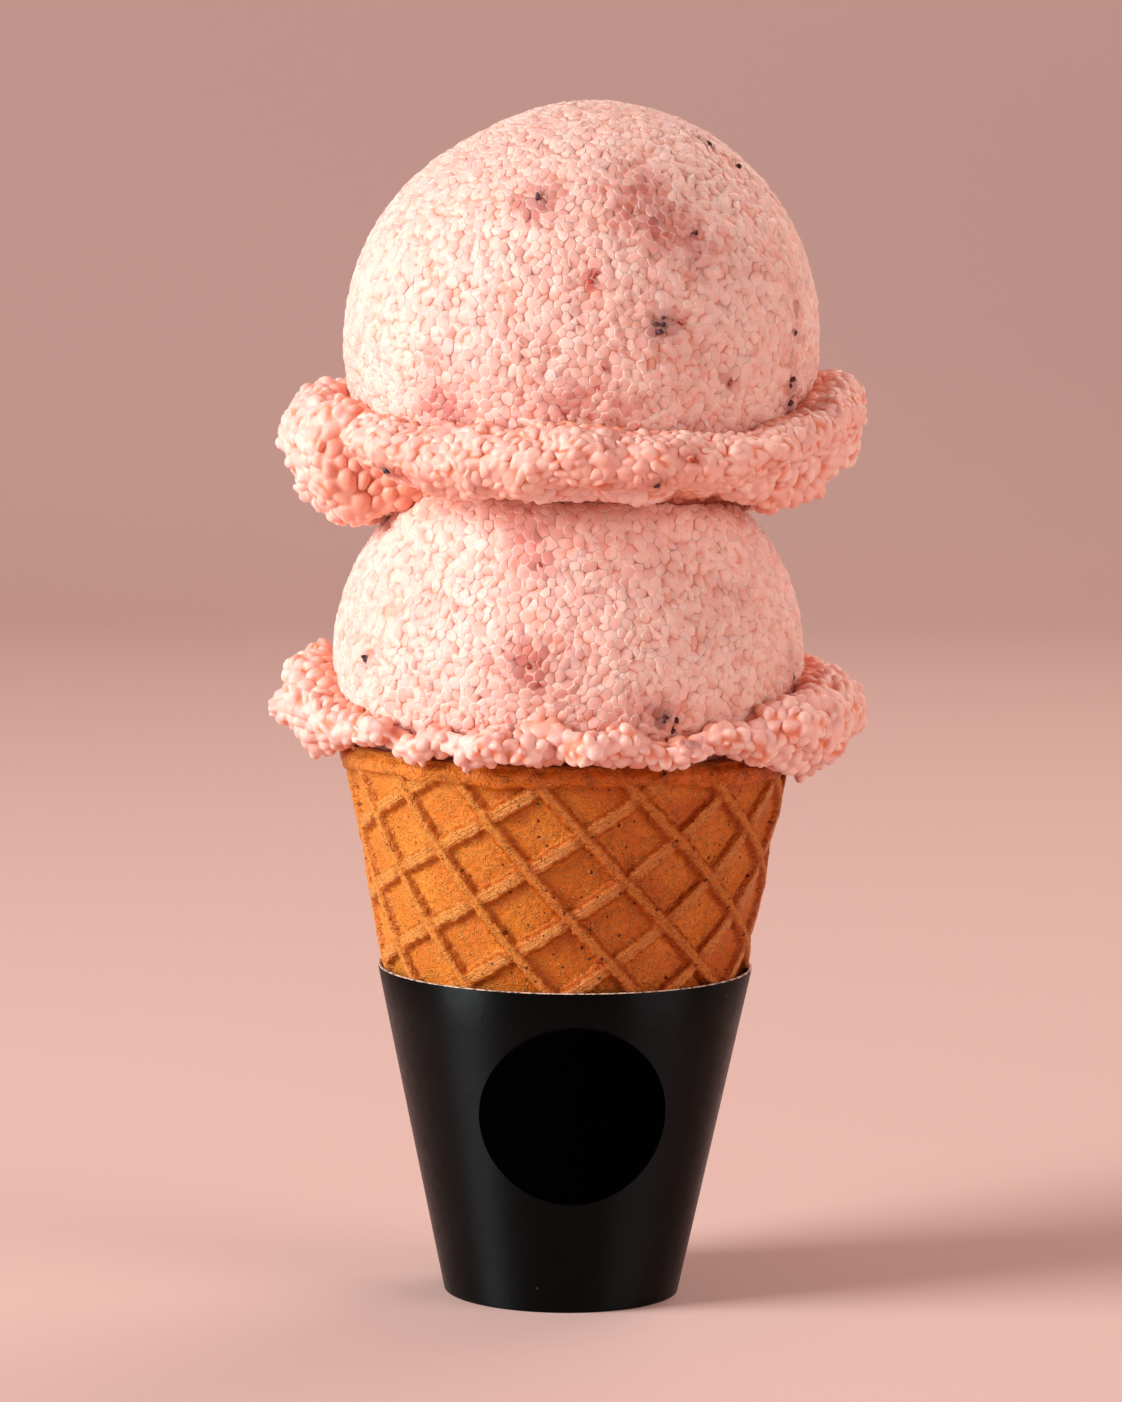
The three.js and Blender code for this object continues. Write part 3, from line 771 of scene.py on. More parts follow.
def waffle_material(settings):
    material, tree, shader, place = new_material("baked_waffle")
    flat = attribute(tree, "unrolled", "Vector")
    falling = attribute(tree, "falling_rib")
    rising = attribute(tree, "rising_rib")
    fine = noise(tree, place, 1100.0, 4.0, 0.65)
    hair = hairlines(tree, flat)
    streak = rib_streaks(tree, flat, falling, rising)
    floor = cell_floor(tree, place, fine, hair, settings)
    rib = maths(tree, "MAXIMUM", falling, rising)
    pattern = ribbed(tree, floor, streak, falling, rib, settings)
    edge = mixed(tree, ramped(tree, noise(tree, place, 500.0, 3.0), 0.5, 0.8), BAND_COLOUR,
                 tuple(settings.toast_colour))
    banded = mixed(tree, times(tree, attribute(tree, "band"), 0.85), pattern, edge)
    hole = maths(tree, "MAXIMUM", pinholes(tree, flat, 0.85, 0.35, 0.17),
                 pinholes(tree, flat, 0.4, 0.3, 0.1))
    holed = mixed(tree, times(tree, hole, 0.9), banded, PINHOLE_COLOUR)
    # Base colour with painted light on the left and painted shade on the right
    feed(tree, shader, {
        "Base Color": baked(tree, place, holed),
        "Subsurface Weight": 0.1,
        "Subsurface Radius": (1.0, 0.35, 0.08),
        "Subsurface Scale": 0.001,
        "Roughness": 0.42,
        "Specular IOR Level": 0.28,
    })
    bumps = maths(tree, "MULTIPLY_ADD", streak, 1.6, maths(tree, "MULTIPLY_ADD", hair, 0.6, fine))
    relief = minus(tree, bumps, times(tree, hole, 2.0))
    bumped(tree, shader, relief, 0.0004)
    return material


def card_material(settings):
    material, tree, shader, place = new_material("satin_card")
    dots = put(tree, "ShaderNodeTexVoronoi", {"Vector": place, "Scale": 420.0}).outputs[0]
    dust = ramped(tree, dots, 0.05, 0.09, 1.0, 0.0)
    sparse = ramped(tree, noise(tree, place, 260.0, 1.0), 0.62, 0.7)
    dusty = times(tree, times(tree, dust, sparse), 0.3)
    feed(tree, shader, {
        "Base Color": mixed(tree, dusty, tuple(settings.card_colour), DUST_COLOUR),
        "Roughness": ramped(tree, noise(tree, place, 500.0, 4.0), 0.3, 0.7, 0.42, 0.48),
        "Anisotropic": 0.9,
        "Tangent": put(tree, "ShaderNodeCombineXYZ", [0.0, 0.0, 1.0]).outputs[0],
        "Specular IOR Level": 0.12,
        "Specular Tint": (0.8, 0.95, 1.0, 1),
    })
    bumped(tree, shader, noise(tree, place, 1100.0, 3.0), 0.00004, 0.6)
    return material


def edge_material(settings):
    material, tree, shader, place = new_material("cut_card_edge")
    fibre = noise(tree, place, 1800.0, 3.0)
    colour = mixed(tree, ramped(tree, fibre, 0.4, 0.65), tuple(settings.edge_colour), DARK_FIBRE)
    feed(tree, shader, {"Base Color": colour, "Roughness": 0.85})
    bumped(tree, shader, fibre, 0.0001)
    return material


def label_material(settings):
    material, tree, shader, place = new_material("matte_label")
    grain = noise(tree, place, 1600.0, 3.0)
    colour = mixed(tree, grain, tuple(settings.label_colour), LABEL_GRAIN)
    feed(tree, shader, {"Base Color": colour, "Roughness": 0.8, "Specular IOR Level": 0.0})
    bumped(tree, shader, grain, 0.00002, 0.4)
    return material


def stage_material(settings):
    material, tree, shader, place = new_material("pale_paper")
    paper = tuple(settings.floor_colour)
    duller = tuple(part * 0.98 for part in paper[:3]) + (1,)
    tint = mixed(tree, noise(tree, place, 3.0), paper, duller)
    feed(tree, shader, {"Base Color": tint, "Roughness": 0.9, "Specular IOR Level": 0.1})
    return material


# Ice cream

def unevenness(points, size):
    """Gentle unevenness between -1 and 1, with swellings about `size` apart."""
    pace = 2 * math.pi / size
    x, y, z = np.moveaxis(points, -1, 0)
    first = np.sin(pace * x + 1.3) * np.sin(pace * y + 0.7)
    second = np.sin(0.83 * pace * y + 2.1) * np.sin(0.83 * pace * z + 0.4)
    third = np.sin(0.71 * pace * z + 4.2) * np.sin(0.71 * pace * x + 5.1)
    return (first + second + third) / 2


def scattered(points, spacings):
    """Picks points in their order, each at least its own spacing from those picked before."""
    cell = float(spacings.min())
    picked = {}
    chosen = []
    for index, (point, spacing) in enumerate(zip(points.tolist(), spacings.tolist())):
        x, y, z = (int(part // cell) for part in point)
        reach = math.ceil(spacing / cell)
        steps = range(-reach, reach + 1)
        near = (picked.get((x + i, y + j, z + k)) for i in steps for j in steps for k in steps)
        if all(math.dist(point, other) >= spacing for group in near if group for other in group):
            picked.setdefault((x, y, z), []).append(point)
            chosen.append(index)
    return np.array(chosen)


def hull_triangles(directions):
    """Triangles between directions on a ball, all facing outwards."""
    hull = bmesh.new()
    for direction in directions:
        hull.verts.new(direction * 100)
    hull.verts.index_update()
    bmesh.ops.convex_hull(hull, input=hull.verts)
    triangles = np.array([[corner.index for corner in face.verts] for face in hull.faces])
    hull.free()
    first, second, third = np.moveaxis(directions[triangles], 1, 0)
    inwards = np.einsum("ij,ij->i", np.cross(second - first, third - first), first) < 0
    triangles[inwards] = triangles[inwards][:, ::-1]
    return triangles


def strip_triangles(flat, width, tall, closed):
    """Triangles between points on a strip that is closed across, and along it if asked."""
    index = np.arange(len(flat))
    points = []
    owners = []
    for lengthways in (-1, 0, 1) if closed else (0,):
        for across in (-1, 0, 1):
            shifted = flat + (lengthways * width, across * tall)
            half = np.array([width, tall]) / 2
            kept = (np.abs(shifted - half) < half + STRIP_MARGIN).all(1)
            points.append(shifted[kept])
            owners.append(index[kept])
    points = np.concatenate(points)
    owners = np.concatenate(owners)
    made = delaunay_2d_cdt([Vector(point) for point in points], [], [], 0, 1e-6)
    places = np.array([tuple(place) for place in made[0]])
    source = np.array([given[0] for given in made[3]])
    triangles = np.array([list(face) for face in made[2]])
    centre = places[triangles].mean(1)
    inside = (centre[:, 1] >= 0) & (centre[:, 1] < tall)
    if closed:
        inside &= (centre[:, 0] >= 0) & (centre[:, 0] < width)
    return owners[source[triangles[inside]]]


def stains(points, centre, fruit):
    """How pink and how dark the ice cream is at each point, from the fruit near it."""
    blush = np.zeros(len(points))
    dusk = np.zeros(len(points))
    (broad, broad_size), (fine, fine_size) = STAIN_PATTERNS
    patchy = 1 + broad * unevenness(points, broad_size) + fine * unevenness(points + 7, fine_size)
    for azimuth, elevation, distance, reach, pink, dark, _ in fruit:
        spot = centre + distance * outwards_at(azimuth, elevation)
        away = np.linalg.norm(points - spot, axis=1) / reach
        blush = np.maximum(blush, pink * np.exp(-(away / patchy) ** 2 * STAIN_FADE))
        dusk = np.maximum(dusk, dark * np.exp(-(away / DUSK_REACH) ** 2))
    return blush, dusk


def shoulder_sink(directions):
    """How far the flat patch on the shoulder lies below the round ball."""
    centre = outwards_at(SHOULDER_AZIMUTH, SHOULDER_ELEVATION)
    away = np.arccos(np.clip(directions @ centre, -1, 1)) / math.radians(SHOULDER_SPREAD)
    return SHOULDER_DEPTH * np.exp(-away ** 2)


def lower_sink(directions):
    """How far the lower ball is drawn in at the cone, less how far it bulges in front."""
    drawn_in = NECK_DEPTH * np.clip((NECK_FROM - directions[:, 2]) / NECK_LENGTH, 0, 1)
    elevation = np.degrees(np.arcsin(directions[:, 2]))
    azimuth = np.degrees(np.arctan2(directions[:, 0], -directions[:, 1]))
    up = eased(span(elevation, *BULGE_ELEVATIONS))
    return drawn_in - BULGE * up * eased(span(np.abs(azimuth), *BULGE_AZIMUTHS))


def relaxed(points, triangles):
    """Triangles whose edges are turned until they are well shaped on the surface itself."""
    mesh = bmesh.new()
    corners = [mesh.verts.new(point) for point in points]
    for triangle in triangles:
        mesh.faces.new([corners[index] for index in triangle])
    mesh.verts.index_update()
    bmesh.ops.beautify_fill(mesh, faces=mesh.faces[:], edges=mesh.edges[:], method="ANGLE")
    turned = np.array([[corner.index for corner in face.verts] for face in mesh.faces])
    mesh.free()
    return turned


def ball_lattice(centre, sink, seen, under, settings, draw):
    """Triangles between the middles of a ball's grains, which are coarse where hidden."""
    radius = settings.ball_radius / MM
    spacing = settings.grain_size / MM * GRAIN_SPACING
    directions = draw.normal(size=(BALL_DARTS, 3))
    directions /= np.linalg.norm(directions, axis=1, keepdims=True)
    height = centre[2] + radius * directions[:, 2]
    shows = (height > seen[0]) & (height < seen[1])
    shows |= (height > under[0]) & (height < under[1]) & (directions[:, 1] < UNDER_FRONT)
    kept = shows | (draw.random(len(shows)) < HIDDEN_SHARE)
    directions, shows = directions[kept], shows[kept]
    spacings = np.where(shows, spacing, HIDDEN_BALL_SPACING * spacing)
    directions = directions[scattered(directions * radius, spacings)]
    swell = BALL_SWELL * unevenness(directions * radius + centre, BALL_SWELL_SIZE)
    points = centre + directions * (radius - BALL_INSET + swell - sink(directions))[:, None]
    return points, hull_triangles(directions)


def between(stations, place, closed):
    """Rows between stations that stand STATION_STEP apart, on smooth curves through them."""
    at = np.floor(place).astype(int)
    part = (place - at)[:, None]

    def row(index):
        wrapped = index % len(stations) if closed else np.clip(index, 0, len(stations) - 1)
        return stations[wrapped]

    before, low, high, after = row(at - 1), row(at), row(at + 1), row(at + 2)
    return low + ((high - before) * part
                  + (2 * before - 5 * low + 4 * high - after) * part ** 2
                  + (3 * low - before - 3 * high + after) * part ** 3) / 2


def bump_of(angle, centre, half):
    """1 at the centre of a span of azimuths, and 0 beyond half of it."""
    away = np.abs((angle - centre + 180) % 360 - 180) / half
    raised_to = np.cos(np.minimum(away, 1) * math.pi / 2) ** BUMP_ROUNDNESS
    return np.where(away < 1, raised_to, 0)


def clumps(points, middles):
    """Round clumps about their middles, from 0 between them to 1 on top of them."""
    away = np.linalg.norm(points[:, None] - middles[None], axis=2).min(1)
    return np.sqrt(1 - np.minimum(away / CLUMP_RADIUS, 1) ** 2)


def on_roll(azimuth, sizes, scale, turn, flare, middles=None):
    """Points on a roll with egg-shaped sections, at turns round the section, and clumps on it."""
    reach, bottom, top = sizes.T
    half_height = (top - bottom) / 2 * scale
    half_width = (ROLL_WIDTH_BASE + ROLL_WIDTH_SHARE * (top - bottom) / 2) * scale
    centre_radius = reach - half_width / scale
    centre_height = (top + bottom) / 2
    side = np.where(np.cos(turn) < 0, -ROLL_INNER_STRETCH, 1)
    outwards = side * np.abs(np.cos(turn)) ** ROLL_SHARPNESS
    upwards = np.sin(turn)
    plain = onto_azimuth(azimuth, centre_radius + half_width * outwards,
                         centre_height + half_height * upwards)
    lump = ROLL_LUMP * scale * unevenness(plain, ROLL_LUMP_SIZE)
    lump -= ROLL_INSET * scale
    if middles is not None:
        lump += CLUMP_RISE * (clumps(plain, middles) - CLUMP_LEVEL) * scale
    outer = np.clip(1 + outwards / ROLL_INNER_STRETCH, 0, 1)
    leaning = flare * np.clip(upwards, FLARE_FROM, 1) * outer
    return onto_azimuth(azimuth, centre_radius + (half_width + lump) * outwards + leaning,
                        centre_height + (half_height + lump) * upwards)


def collar_sizes(stations, azimuth, hollow):
    """Sizes of a collar at each azimuth, drawn in where it has a hollow."""
    sizes = between(stations, azimuth % 360 / STATION_STEP, True)
    if hollow:
        centre, half, depth = hollow
        sizes[:, 0] -= depth * bump_of(azimuth, centre, half)
    return sizes


def flared(azimuth, flares):
    """How far the upper edge of a roll leans out at each azimuth."""
    return sum(lean * bump_of(azimuth, centre, half) for centre, half, lean in flares)


def collar_lattice(stations, shift, hollow, flares, shows, settings, draw):
    """Triangles between the middles of the grains on a closed collar."""
    spacing = settings.knob_size / MM * GRAIN_SPACING
    flat = draw.random((COLLAR_DARTS, 2))
    azimuth = flat[:, 0] * 360
    sizes = collar_sizes(stations, azimuth, hollow)
    roll = azimuth, sizes, np.ones(len(flat)), flat[:, 1] * 2 * math.pi, flared(azimuth, flares)
    points = on_roll(*roll, clump_middles(on_roll(*roll))) + shift
    chosen = chosen_grains(points, shows, spacing, draw)
    width, tall = 2 * math.pi * STRIP_RADIUS, STRIP_HEIGHT
    triangles = strip_triangles(flat[chosen] * (width, tall), width, tall, True)
    return points[chosen], relaxed(points[chosen], triangles)


def clump_middles(points):
    """Middles of the clumps, picked from points on the plain roll."""
    some = points[-CLUMP_DARTS:]
    return some[scattered(some, np.full(len(some), CLUMP_SPACING))]


def chosen_grains(points, shows, spacing, draw):
    """Grains picked from points, coarse where they don't show."""
    seen = shows(points)
    kept = np.flatnonzero(seen | (draw.random(len(points)) < HIDDEN_SHARE))
    spacings = np.where(seen[kept], spacing, HIDDEN_ROLL_SPACING * spacing)
    return kept[scattered(points[kept], spacings)]


def front_roll_points(flat, shift):
    """Points on the front roll, which grows narrow towards its ends."""
    azimuth = FRONT_ROLL_FROM + flat[:, 0] * (FRONT_ROLL_TO - FRONT_ROLL_FROM)
    sizes = between(FRONT_ROLL, (azimuth - FRONT_ROLL_START) / STATION_STEP, False)
    from_end = np.minimum(azimuth - FRONT_ROLL_FROM, FRONT_ROLL_TO - azimuth)
    lack = np.clip(1 - from_end / ROLL_END_ANGLE, 0, 1)
    scale = np.maximum(ROLL_END_SCALE, np.sqrt(1 - lack ** 2))
    lean = flared(azimuth, FRONT_ROLL_FLARES)
    return on_roll(azimuth, sizes, scale, flat[:, 1] * 2 * math.pi, lean) + shift


def end_caps(points, triangles):
    """The same mesh with a cap on each end, about a point in the ring's middle."""
    ring = ROLL_END_GRAINS
    count = len(points)
    for step in range(ring):
        up = (step + 1) % ring
        triangles.append([step, up, count])
        triangles.append([ring + up, ring + step, count + 1])
    poles = [points[:ring].mean(0), points[ring:2 * ring].mean(0)]
    return np.concatenate([points, poles]), triangles


def front_roll_lattice(shift, shows, settings, draw):
    """Triangles between the middles of the grains on the roll, with a cap on each end."""
    spacing = settings.knob_size / MM * CRUMB_SPACING
    across = np.arange(ROLL_END_GRAINS) / ROLL_END_GRAINS
    ends = [np.stack([np.full(ROLL_END_GRAINS, end), across], 1) for end in (0.0, 1.0)]
    darts = draw.random((FRONT_ROLL_DARTS, 2)) * (1 - 2 * ROLL_END_MARGIN, 1) + (ROLL_END_MARGIN, 0)
    flat = np.concatenate(ends + [darts])
    points = front_roll_points(flat, shift)
    fixed = np.arange(2 * ROLL_END_GRAINS)
    loose = chosen_grains(points[len(fixed):], shows, spacing, draw) + len(fixed)
    chosen = np.concatenate([fixed, loose])
    width, tall = math.radians(FRONT_ROLL_TO - FRONT_ROLL_FROM) * STRIP_RADIUS, STRIP_HEIGHT
    triangles = strip_triangles(flat[chosen] * (width, tall), width, tall, False).tolist()
    points, triangles = end_caps(points[chosen], triangles)
    return points, relaxed(points, triangles)


def new_tree(name, sockets):
    """A tree of geometry nodes with named inputs, and what its inputs give."""
    tree = bpy.data.node_groups.new(name, "GeometryNodeTree")
    face = tree.interface
    face.new_socket("Geometry", in_out="INPUT", socket_type="NodeSocketGeometry")
    for kind, names in sockets:
        for socket in names:
            face.new_socket(socket, in_out="INPUT", socket_type="NodeSocket" + kind)
    face.new_socket("Geometry", in_out="OUTPUT", socket_type="NodeSocketGeometry")
    return tree, put(tree, "NodeGroupInput").outputs


def end_tree(tree, given, geometry):
    """Ends a tree with real geometry in its material."""
    real = put(tree, "GeometryNodeRealizeInstances", [geometry]).outputs[0]
    inputs = {"Geometry": real, "Material": given["Material"]}
    put(tree, "NodeGroupOutput", [put(tree, "GeometryNodeSetMaterial", inputs).outputs[0]])
    return tree


def stored(tree, geometry, name, value, domain="POINT", selection=True, kind="FLOAT"):
    """Geometry with a value stored on it under a name."""
    inputs = {"Geometry": geometry, "Selection": selection, "Name": name, "Value": value}
    return put(tree, "GeometryNodeStoreNamedAttribute", inputs, data_type=kind,
               domain=domain).outputs[0]


def recalled(tree, name, kind="FLOAT"):
    inputs = {"Name": name}
    return put(tree, "GeometryNodeInputNamedAttribute", inputs, data_type=kind).outputs[0]


def moved(tree, geometry, offset, selection=True):
    inputs = {"Geometry": geometry, "Selection": selection, "Offset": offset}
    return put(tree, "GeometryNodeSetPosition", inputs).outputs[0]


def raised(tree, geometry, offset, height, selection=True):
    """Faces raised one by one, and which of the new faces are the tops."""
    inputs = {"Mesh": geometry, "Selection": selection, "Offset": offset, "Offset Scale": height,
              "Individual": True}
    outputs = put(tree, "GeometryNodeExtrudeMesh", inputs, mode="FACES").outputs
    return outputs["Mesh"], outputs["Top"]


def scaled(tree, geometry, faces, share):
    """Faces drawn together to their own middles."""
    inputs = {"Geometry": geometry, "Selection": faces, "Scale": share}
    return put(tree, "GeometryNodeScaleElements", inputs, domain="FACE").outputs[0]


def chance(tree, given, draw, low, high):
    """A random number for each element."""
    inputs = {2: low, 3: high, "Seed": plus(tree, given["Seed"], float(draw))}
    return put(tree, "FunctionNodeRandomValue", inputs, data_type="FLOAT").outputs[1]


def any_way(tree, given, draw):
    """A random vector for each element."""
    seed = plus(tree, given["Seed"], float(draw))
    inputs = {"Min": (-1, -1, -1), "Max": (1, 1, 1), "Seed": seed}
    node = put(tree, "FunctionNodeRandomValue", inputs, data_type="FLOAT_VECTOR")
    return node.outputs["Value"]


def pitted_cells(tree, given, normal):
    """Uneven cells about the given points, with pits at some of their corners, and painted shade
    marked in the grooves and pits.
    """
    even = put(tree, "GeometryNodeDualMesh", [given["Geometry"]]).outputs[0]
    jitter = along(tree, any_way(tree, given, JITTER_DRAW), given["Jitter"])
    luck = {0: chance(tree, given, OPEN_DRAW, 0.0, 1.0), 1: given["Pit chance"]}
    is_open = put(tree, "FunctionNodeCompare", luck, data_type="FLOAT",
                  operation="LESS_THAN").outputs[0]
    depth = times(tree, given["Pit depth"], chance(tree, given, DEPTH_DRAW, -1.2, -0.5))
    pitted = moved(tree, moved(tree, even, jitter), along(tree, normal, depth), is_open)
    # The pit value marks painted shade: a deeper colour given to the grooves and to the open pits
    tints = {"Switch": is_open, "False": given["Groove shade"], "True": 1.0}
    tint = put(tree, "GeometryNodeSwitch", tints, input_type="FLOAT").outputs[0]
    return stored(tree, pitted, "pit", tint)


def marked_cells(tree, given, normal, place):
    """Cells with a tone, and with what the grains' tilt needs."""
    cells = pitted_cells(tree, given, normal)
    toned = stored(tree, cells, "tone", chance(tree, given, TONE_DRAW, 0.0, 1.0), "FACE")
    middled = stored(tree, toned, "cell_middle", place, "FACE", kind="FLOAT_VECTOR")
    tilt = any_way(tree, given, TILT_DRAW)
    return stored(tree, middled, "cell_tilt", tilt, "FACE", kind="FLOAT_VECTOR")


def tilted_grains(tree, given, normal, place):
    """Grains raised from the cells, each with its own height, lean, size and tilt."""
    rise = maths(tree, "MULTIPLY_ADD", chance(tree, given, RISE_DRAW, -1.0, 1.0),
                 given["Rise spread"], given["Rise"])
    lean = along(tree, any_way(tree, given, LEAN_DRAW), given["Lean"])
    offset = vectors(tree, "ADD", along(tree, normal, rise), lean)
    grains, top = raised(tree, marked_cells(tree, given, normal, place), offset, 1.0)
    share = times(tree, given["Top share"], chance(tree, given, SHARE_DRAW, 0.9, 1.08))
    from_middle = vectors(tree, "SUBTRACT", place, recalled(tree, "cell_middle", "FLOAT_VECTOR"))
    slant = vectors(tree, "DOT_PRODUCT", from_middle, recalled(tree, "cell_tilt", "FLOAT_VECTOR"))
    tilt = along(tree, normal, times(tree, slant, given["Tilt"]))
    return moved(tree, scaled(tree, grains, top, share), tilt, top), top


def rimmed(tree, given, geometry, normal, top):
    """Flat grains whose tops have a narrow sloping rim, marked for a painted highlight."""
    bevel = times(tree, given["Rise"], 0.35)
    # The rim value, 1 on the sloping rim, places the painted highlight
    grains, inner = raised(tree, stored(tree, geometry, "rim", 1.0), normal, bevel, top)
    narrowed = scaled(tree, grains, inner, given["Bevel share"])
    return stored(tree, narrowed, "rim", 0.0, "POINT", inner)


def grain_tree():
    """Geometry nodes that turn every point of a triangle mesh into a raised grain."""
    tree, given = new_tree("grains", GRAIN_SOCKETS)
    normal = put(tree, "GeometryNodeInputNormal").outputs[0]
    place = put(tree, "GeometryNodeInputPosition").outputs[0]
    tilted, top = tilted_grains(tree, given, normal, place)
    seen_pit = ramped(tree, recalled(tree, "pit"), 0.9, 1.0, 0.0, 0.55)
    cleared = stored(tree, tilted, "pit", seen_pit, "POINT", top)
    about = minus(tree, noise(tree, place, 420.0), 0.5)
    rough = moved(tree, cleared, along(
        tree, normal, times(tree, about, given["Top unevenness"])))
    rounded = put(tree, "GeometryNodeSubdivisionSurface", {"Mesh": rough, "Level": 1}).outputs[0]
    flat = rimmed(tree, given, rough, normal, top)
    either = {"Switch": given["Round"], "False": flat, "True": rounded}
    grains = put(tree, "GeometryNodeSwitch", either, input_type="GEOMETRY").outputs[0]
    for name in ("cell_middle", "cell_tilt"):
        inputs = {"Geometry": grains, "Name": name}
        grains = put(tree, "GeometryNodeRemoveAttribute", inputs).outputs[0]
    return end_tree(tree, given, put(tree, "GeometryNodeSetShadeSmooth", [grains]).outputs[0])


def set_inputs(modifier, values):
    """A modifier's named inputs, set by their sockets' identifiers."""
    for item in modifier.node_group.interface.items_tree:
        if item.in_out == "INPUT" and item.name in values:
            modifier[item.identifier] = values[item.name]


def flakes(settings):
    """Inputs of the grains on the balls: flat, with a rim."""
    rise = settings.grain_relief
    return {
        "Jitter": 0.0001, "Rise": rise, "Rise spread": rise * 0.5, "Lean": 0.00003, "Tilt": 0.09,
        "Top share": 0.96, "Bevel share": 0.82, "Top unevenness": 0.0002,
        "Pit depth": settings.pit_depth, "Pit chance": 0.4, "Groove shade": 0.0, "Round": False,
    }


def beads(settings):
    """Inputs of the grains on the collars: high and round."""
    rise = settings.bead_rise
    return {
        "Jitter": 0.0002, "Rise": rise, "Rise spread": rise * 0.32, "Lean": 0.0002, "Tilt": 0.12,
        "Top share": 0.86, "Bevel share": 0.8, "Top unevenness": 0.0006,
        "Pit depth": settings.pit_depth, "Pit chance": 0.3, "Groove shade": 0.5, "Round": True,
    }


def crumbs(settings):
    """Inputs of the grains on the front roll: lower and rougher than beads."""
    rise = settings.bead_rise
    return {
        "Jitter": 0.0003, "Rise": rise * 0.5, "Rise spread": rise * 0.26, "Lean": 0.0002,
        "Tilt": 0.2, "Top share": 0.88, "Bevel share": 0.8, "Top unevenness": 0.0009,
        "Pit depth": settings.pit_depth, "Pit chance": 0.25, "Groove shade": 0.52, "Round": True,
    }


def painted_shade_depth(middles, centre, rows):
    """How much painted shade deepens the ice cream's colour at each place, from the rows that hold
    there.
    """
    azimuth = np.degrees(np.arctan2(middles[:, 0], -middles[:, 1]))
    away = np.linalg.norm(middles - centre, axis=1)
    reach = np.hypot(middles[:, 0] - centre[0], middles[:, 1])
    shade = np.zeros(len(middles))
    for least, more, around, by_distance, by_reach, by_height in rows:
        part = bump_of(azimuth, *around) if around else np.ones(len(middles))
        for values, limits in ((away, by_distance), (middles[:, 2], by_height), (reach, by_reach)):
            if limits:
                part = part * span(values, *limits)
        shade = np.maximum(shade, least + more * part)
    return shade


def grained(name, lattice, centre, fruit, tree, inputs, material, shades):
    """A piece of ice cream whose grains stand on the points of a triangle mesh."""
    points, triangles = lattice
    piece = new_object(name, points, triangles, [material])
    grains = piece.modifiers.new("grains", "NODES")
    grains.node_group = tree
    set_inputs(grains, dict(inputs, Material=material))
    mesh = made_plain(piece).data
    middles = np.empty(len(mesh.polygons) * 3)
    mesh.polygons.foreach_get("center", middles)
    middles = middles.reshape(-1, 3) / MM
    tone = np.empty(len(mesh.polygons), dtype=np.float32)
    mesh.attributes["tone"].data.foreach_get("value", tone)
    blush, dusk = stains(middles, centre, fruit)
    store(mesh, "blush", blush * (0.7 + 0.6 * tone), "FACE")
    store(mesh, "dusk", dusk * (0.6 + 0.8 * tone), "FACE")
    # Painted shade: how far the colour is deepened in crevices, hollows and undersides
    store(mesh, "shade", painted_shade_depth(middles, centre, shades), "FACE")
    return piece


def surface_of(piece):
    """A piece's surface, for finding where it is met, in millimetres."""
    faces = [tuple(polygon.vertices) for polygon in piece.data.polygons]
    return BVHTree.FromPolygons(mesh_points(piece.data).tolist(), faces)


def landing(surfaces, centre, out):
    """Where a speck that comes in from outside meets the first of the surfaces."""
    start = Vector(centre + LANDING_FROM * out)
    hits = [surface.ray_cast(start, Vector(-out)) for surface in surfaces]
    met = [hit for hit in hits if hit[0] is not None]
    if not met:
        raise RuntimeError("a speck of fruit misses the ice cream")
    return np.array(min(met, key=lambda hit: hit[3])[0])


def chip(directions, met, out, size, draw):
    """Points of one chip that is half sunk where it lands."""
    share, width = size
    aside = np.cross(out, draw.normal(size=3)) * width * CHIP_ASIDE
    spot = met + CHIP_LIFT * out + aside
    ragged = 1 + CHIP_RAGGEDNESS * unevenness(directions * 2 + spot, CHIP_RAGGED_SIZE)
    squash = draw.uniform(*CHIP_SQUASH, 3)
    return spot + directions * ragged[:, None] * squash * width * share / 2


def fruit_piece(material, balls, draw):
    """Small chips of fruit skin and flesh, three to a speck and half sunk in the ice cream."""
    points, faces, flesh = [], [], []
    directions = draw.normal(size=(CHIP_POINTS, 3))
    directions /= np.linalg.norm(directions, axis=1, keepdims=True)
    triangles = hull_triangles(directions)
    for centre, fruit, ball, rolls in balls:
        for azimuth, elevation, distance, _, _, _, size in fruit:
            if size == 0:
                continue
            out = outwards_at(azimuth, elevation)
            met = landing(ball if distance < ROLLS_BEYOND else rolls + ball, centre, out)
            for share in CHIP_SHARES:
                faces += (triangles + CHIP_POINTS * len(points)).tolist()
                points.append(chip(directions, met, out, (share, abs(size)), draw))
                flesh += [float(size < 0)] * CHIP_POINTS
    chips = new_object("fruit_specks", np.concatenate(points), faces, [material])
    store(chips.data, "flesh", flesh)
    return chips


def outside_of(centre, settings):
    """A test for places that a ball doesn't hide."""
    def shows(points):
        away = np.linalg.norm(points - centre, axis=1)
        return away > settings.ball_radius / MM - COLLAR_SUNK
    return shows


def lower_pieces(settings, centre, draw):
    """Rows of a name, lattice, inputs and shades for the lower ball and its collar."""
    ball = ball_lattice(centre, lower_sink, LOWER_SHOWS, LOWER_UNDER, settings, draw)
    shows = outside_of(centre, settings)
    collar = collar_lattice(LOWER_COLLAR, 0, None, LOWER_FLARES, shows, settings, draw)
    return [
        ("lower_ball", ball, flakes(settings), LOWER_BALL_SHADES),
        ("lower_collar", collar, beads(settings), LOWER_COLLAR_SHADES),
    ]


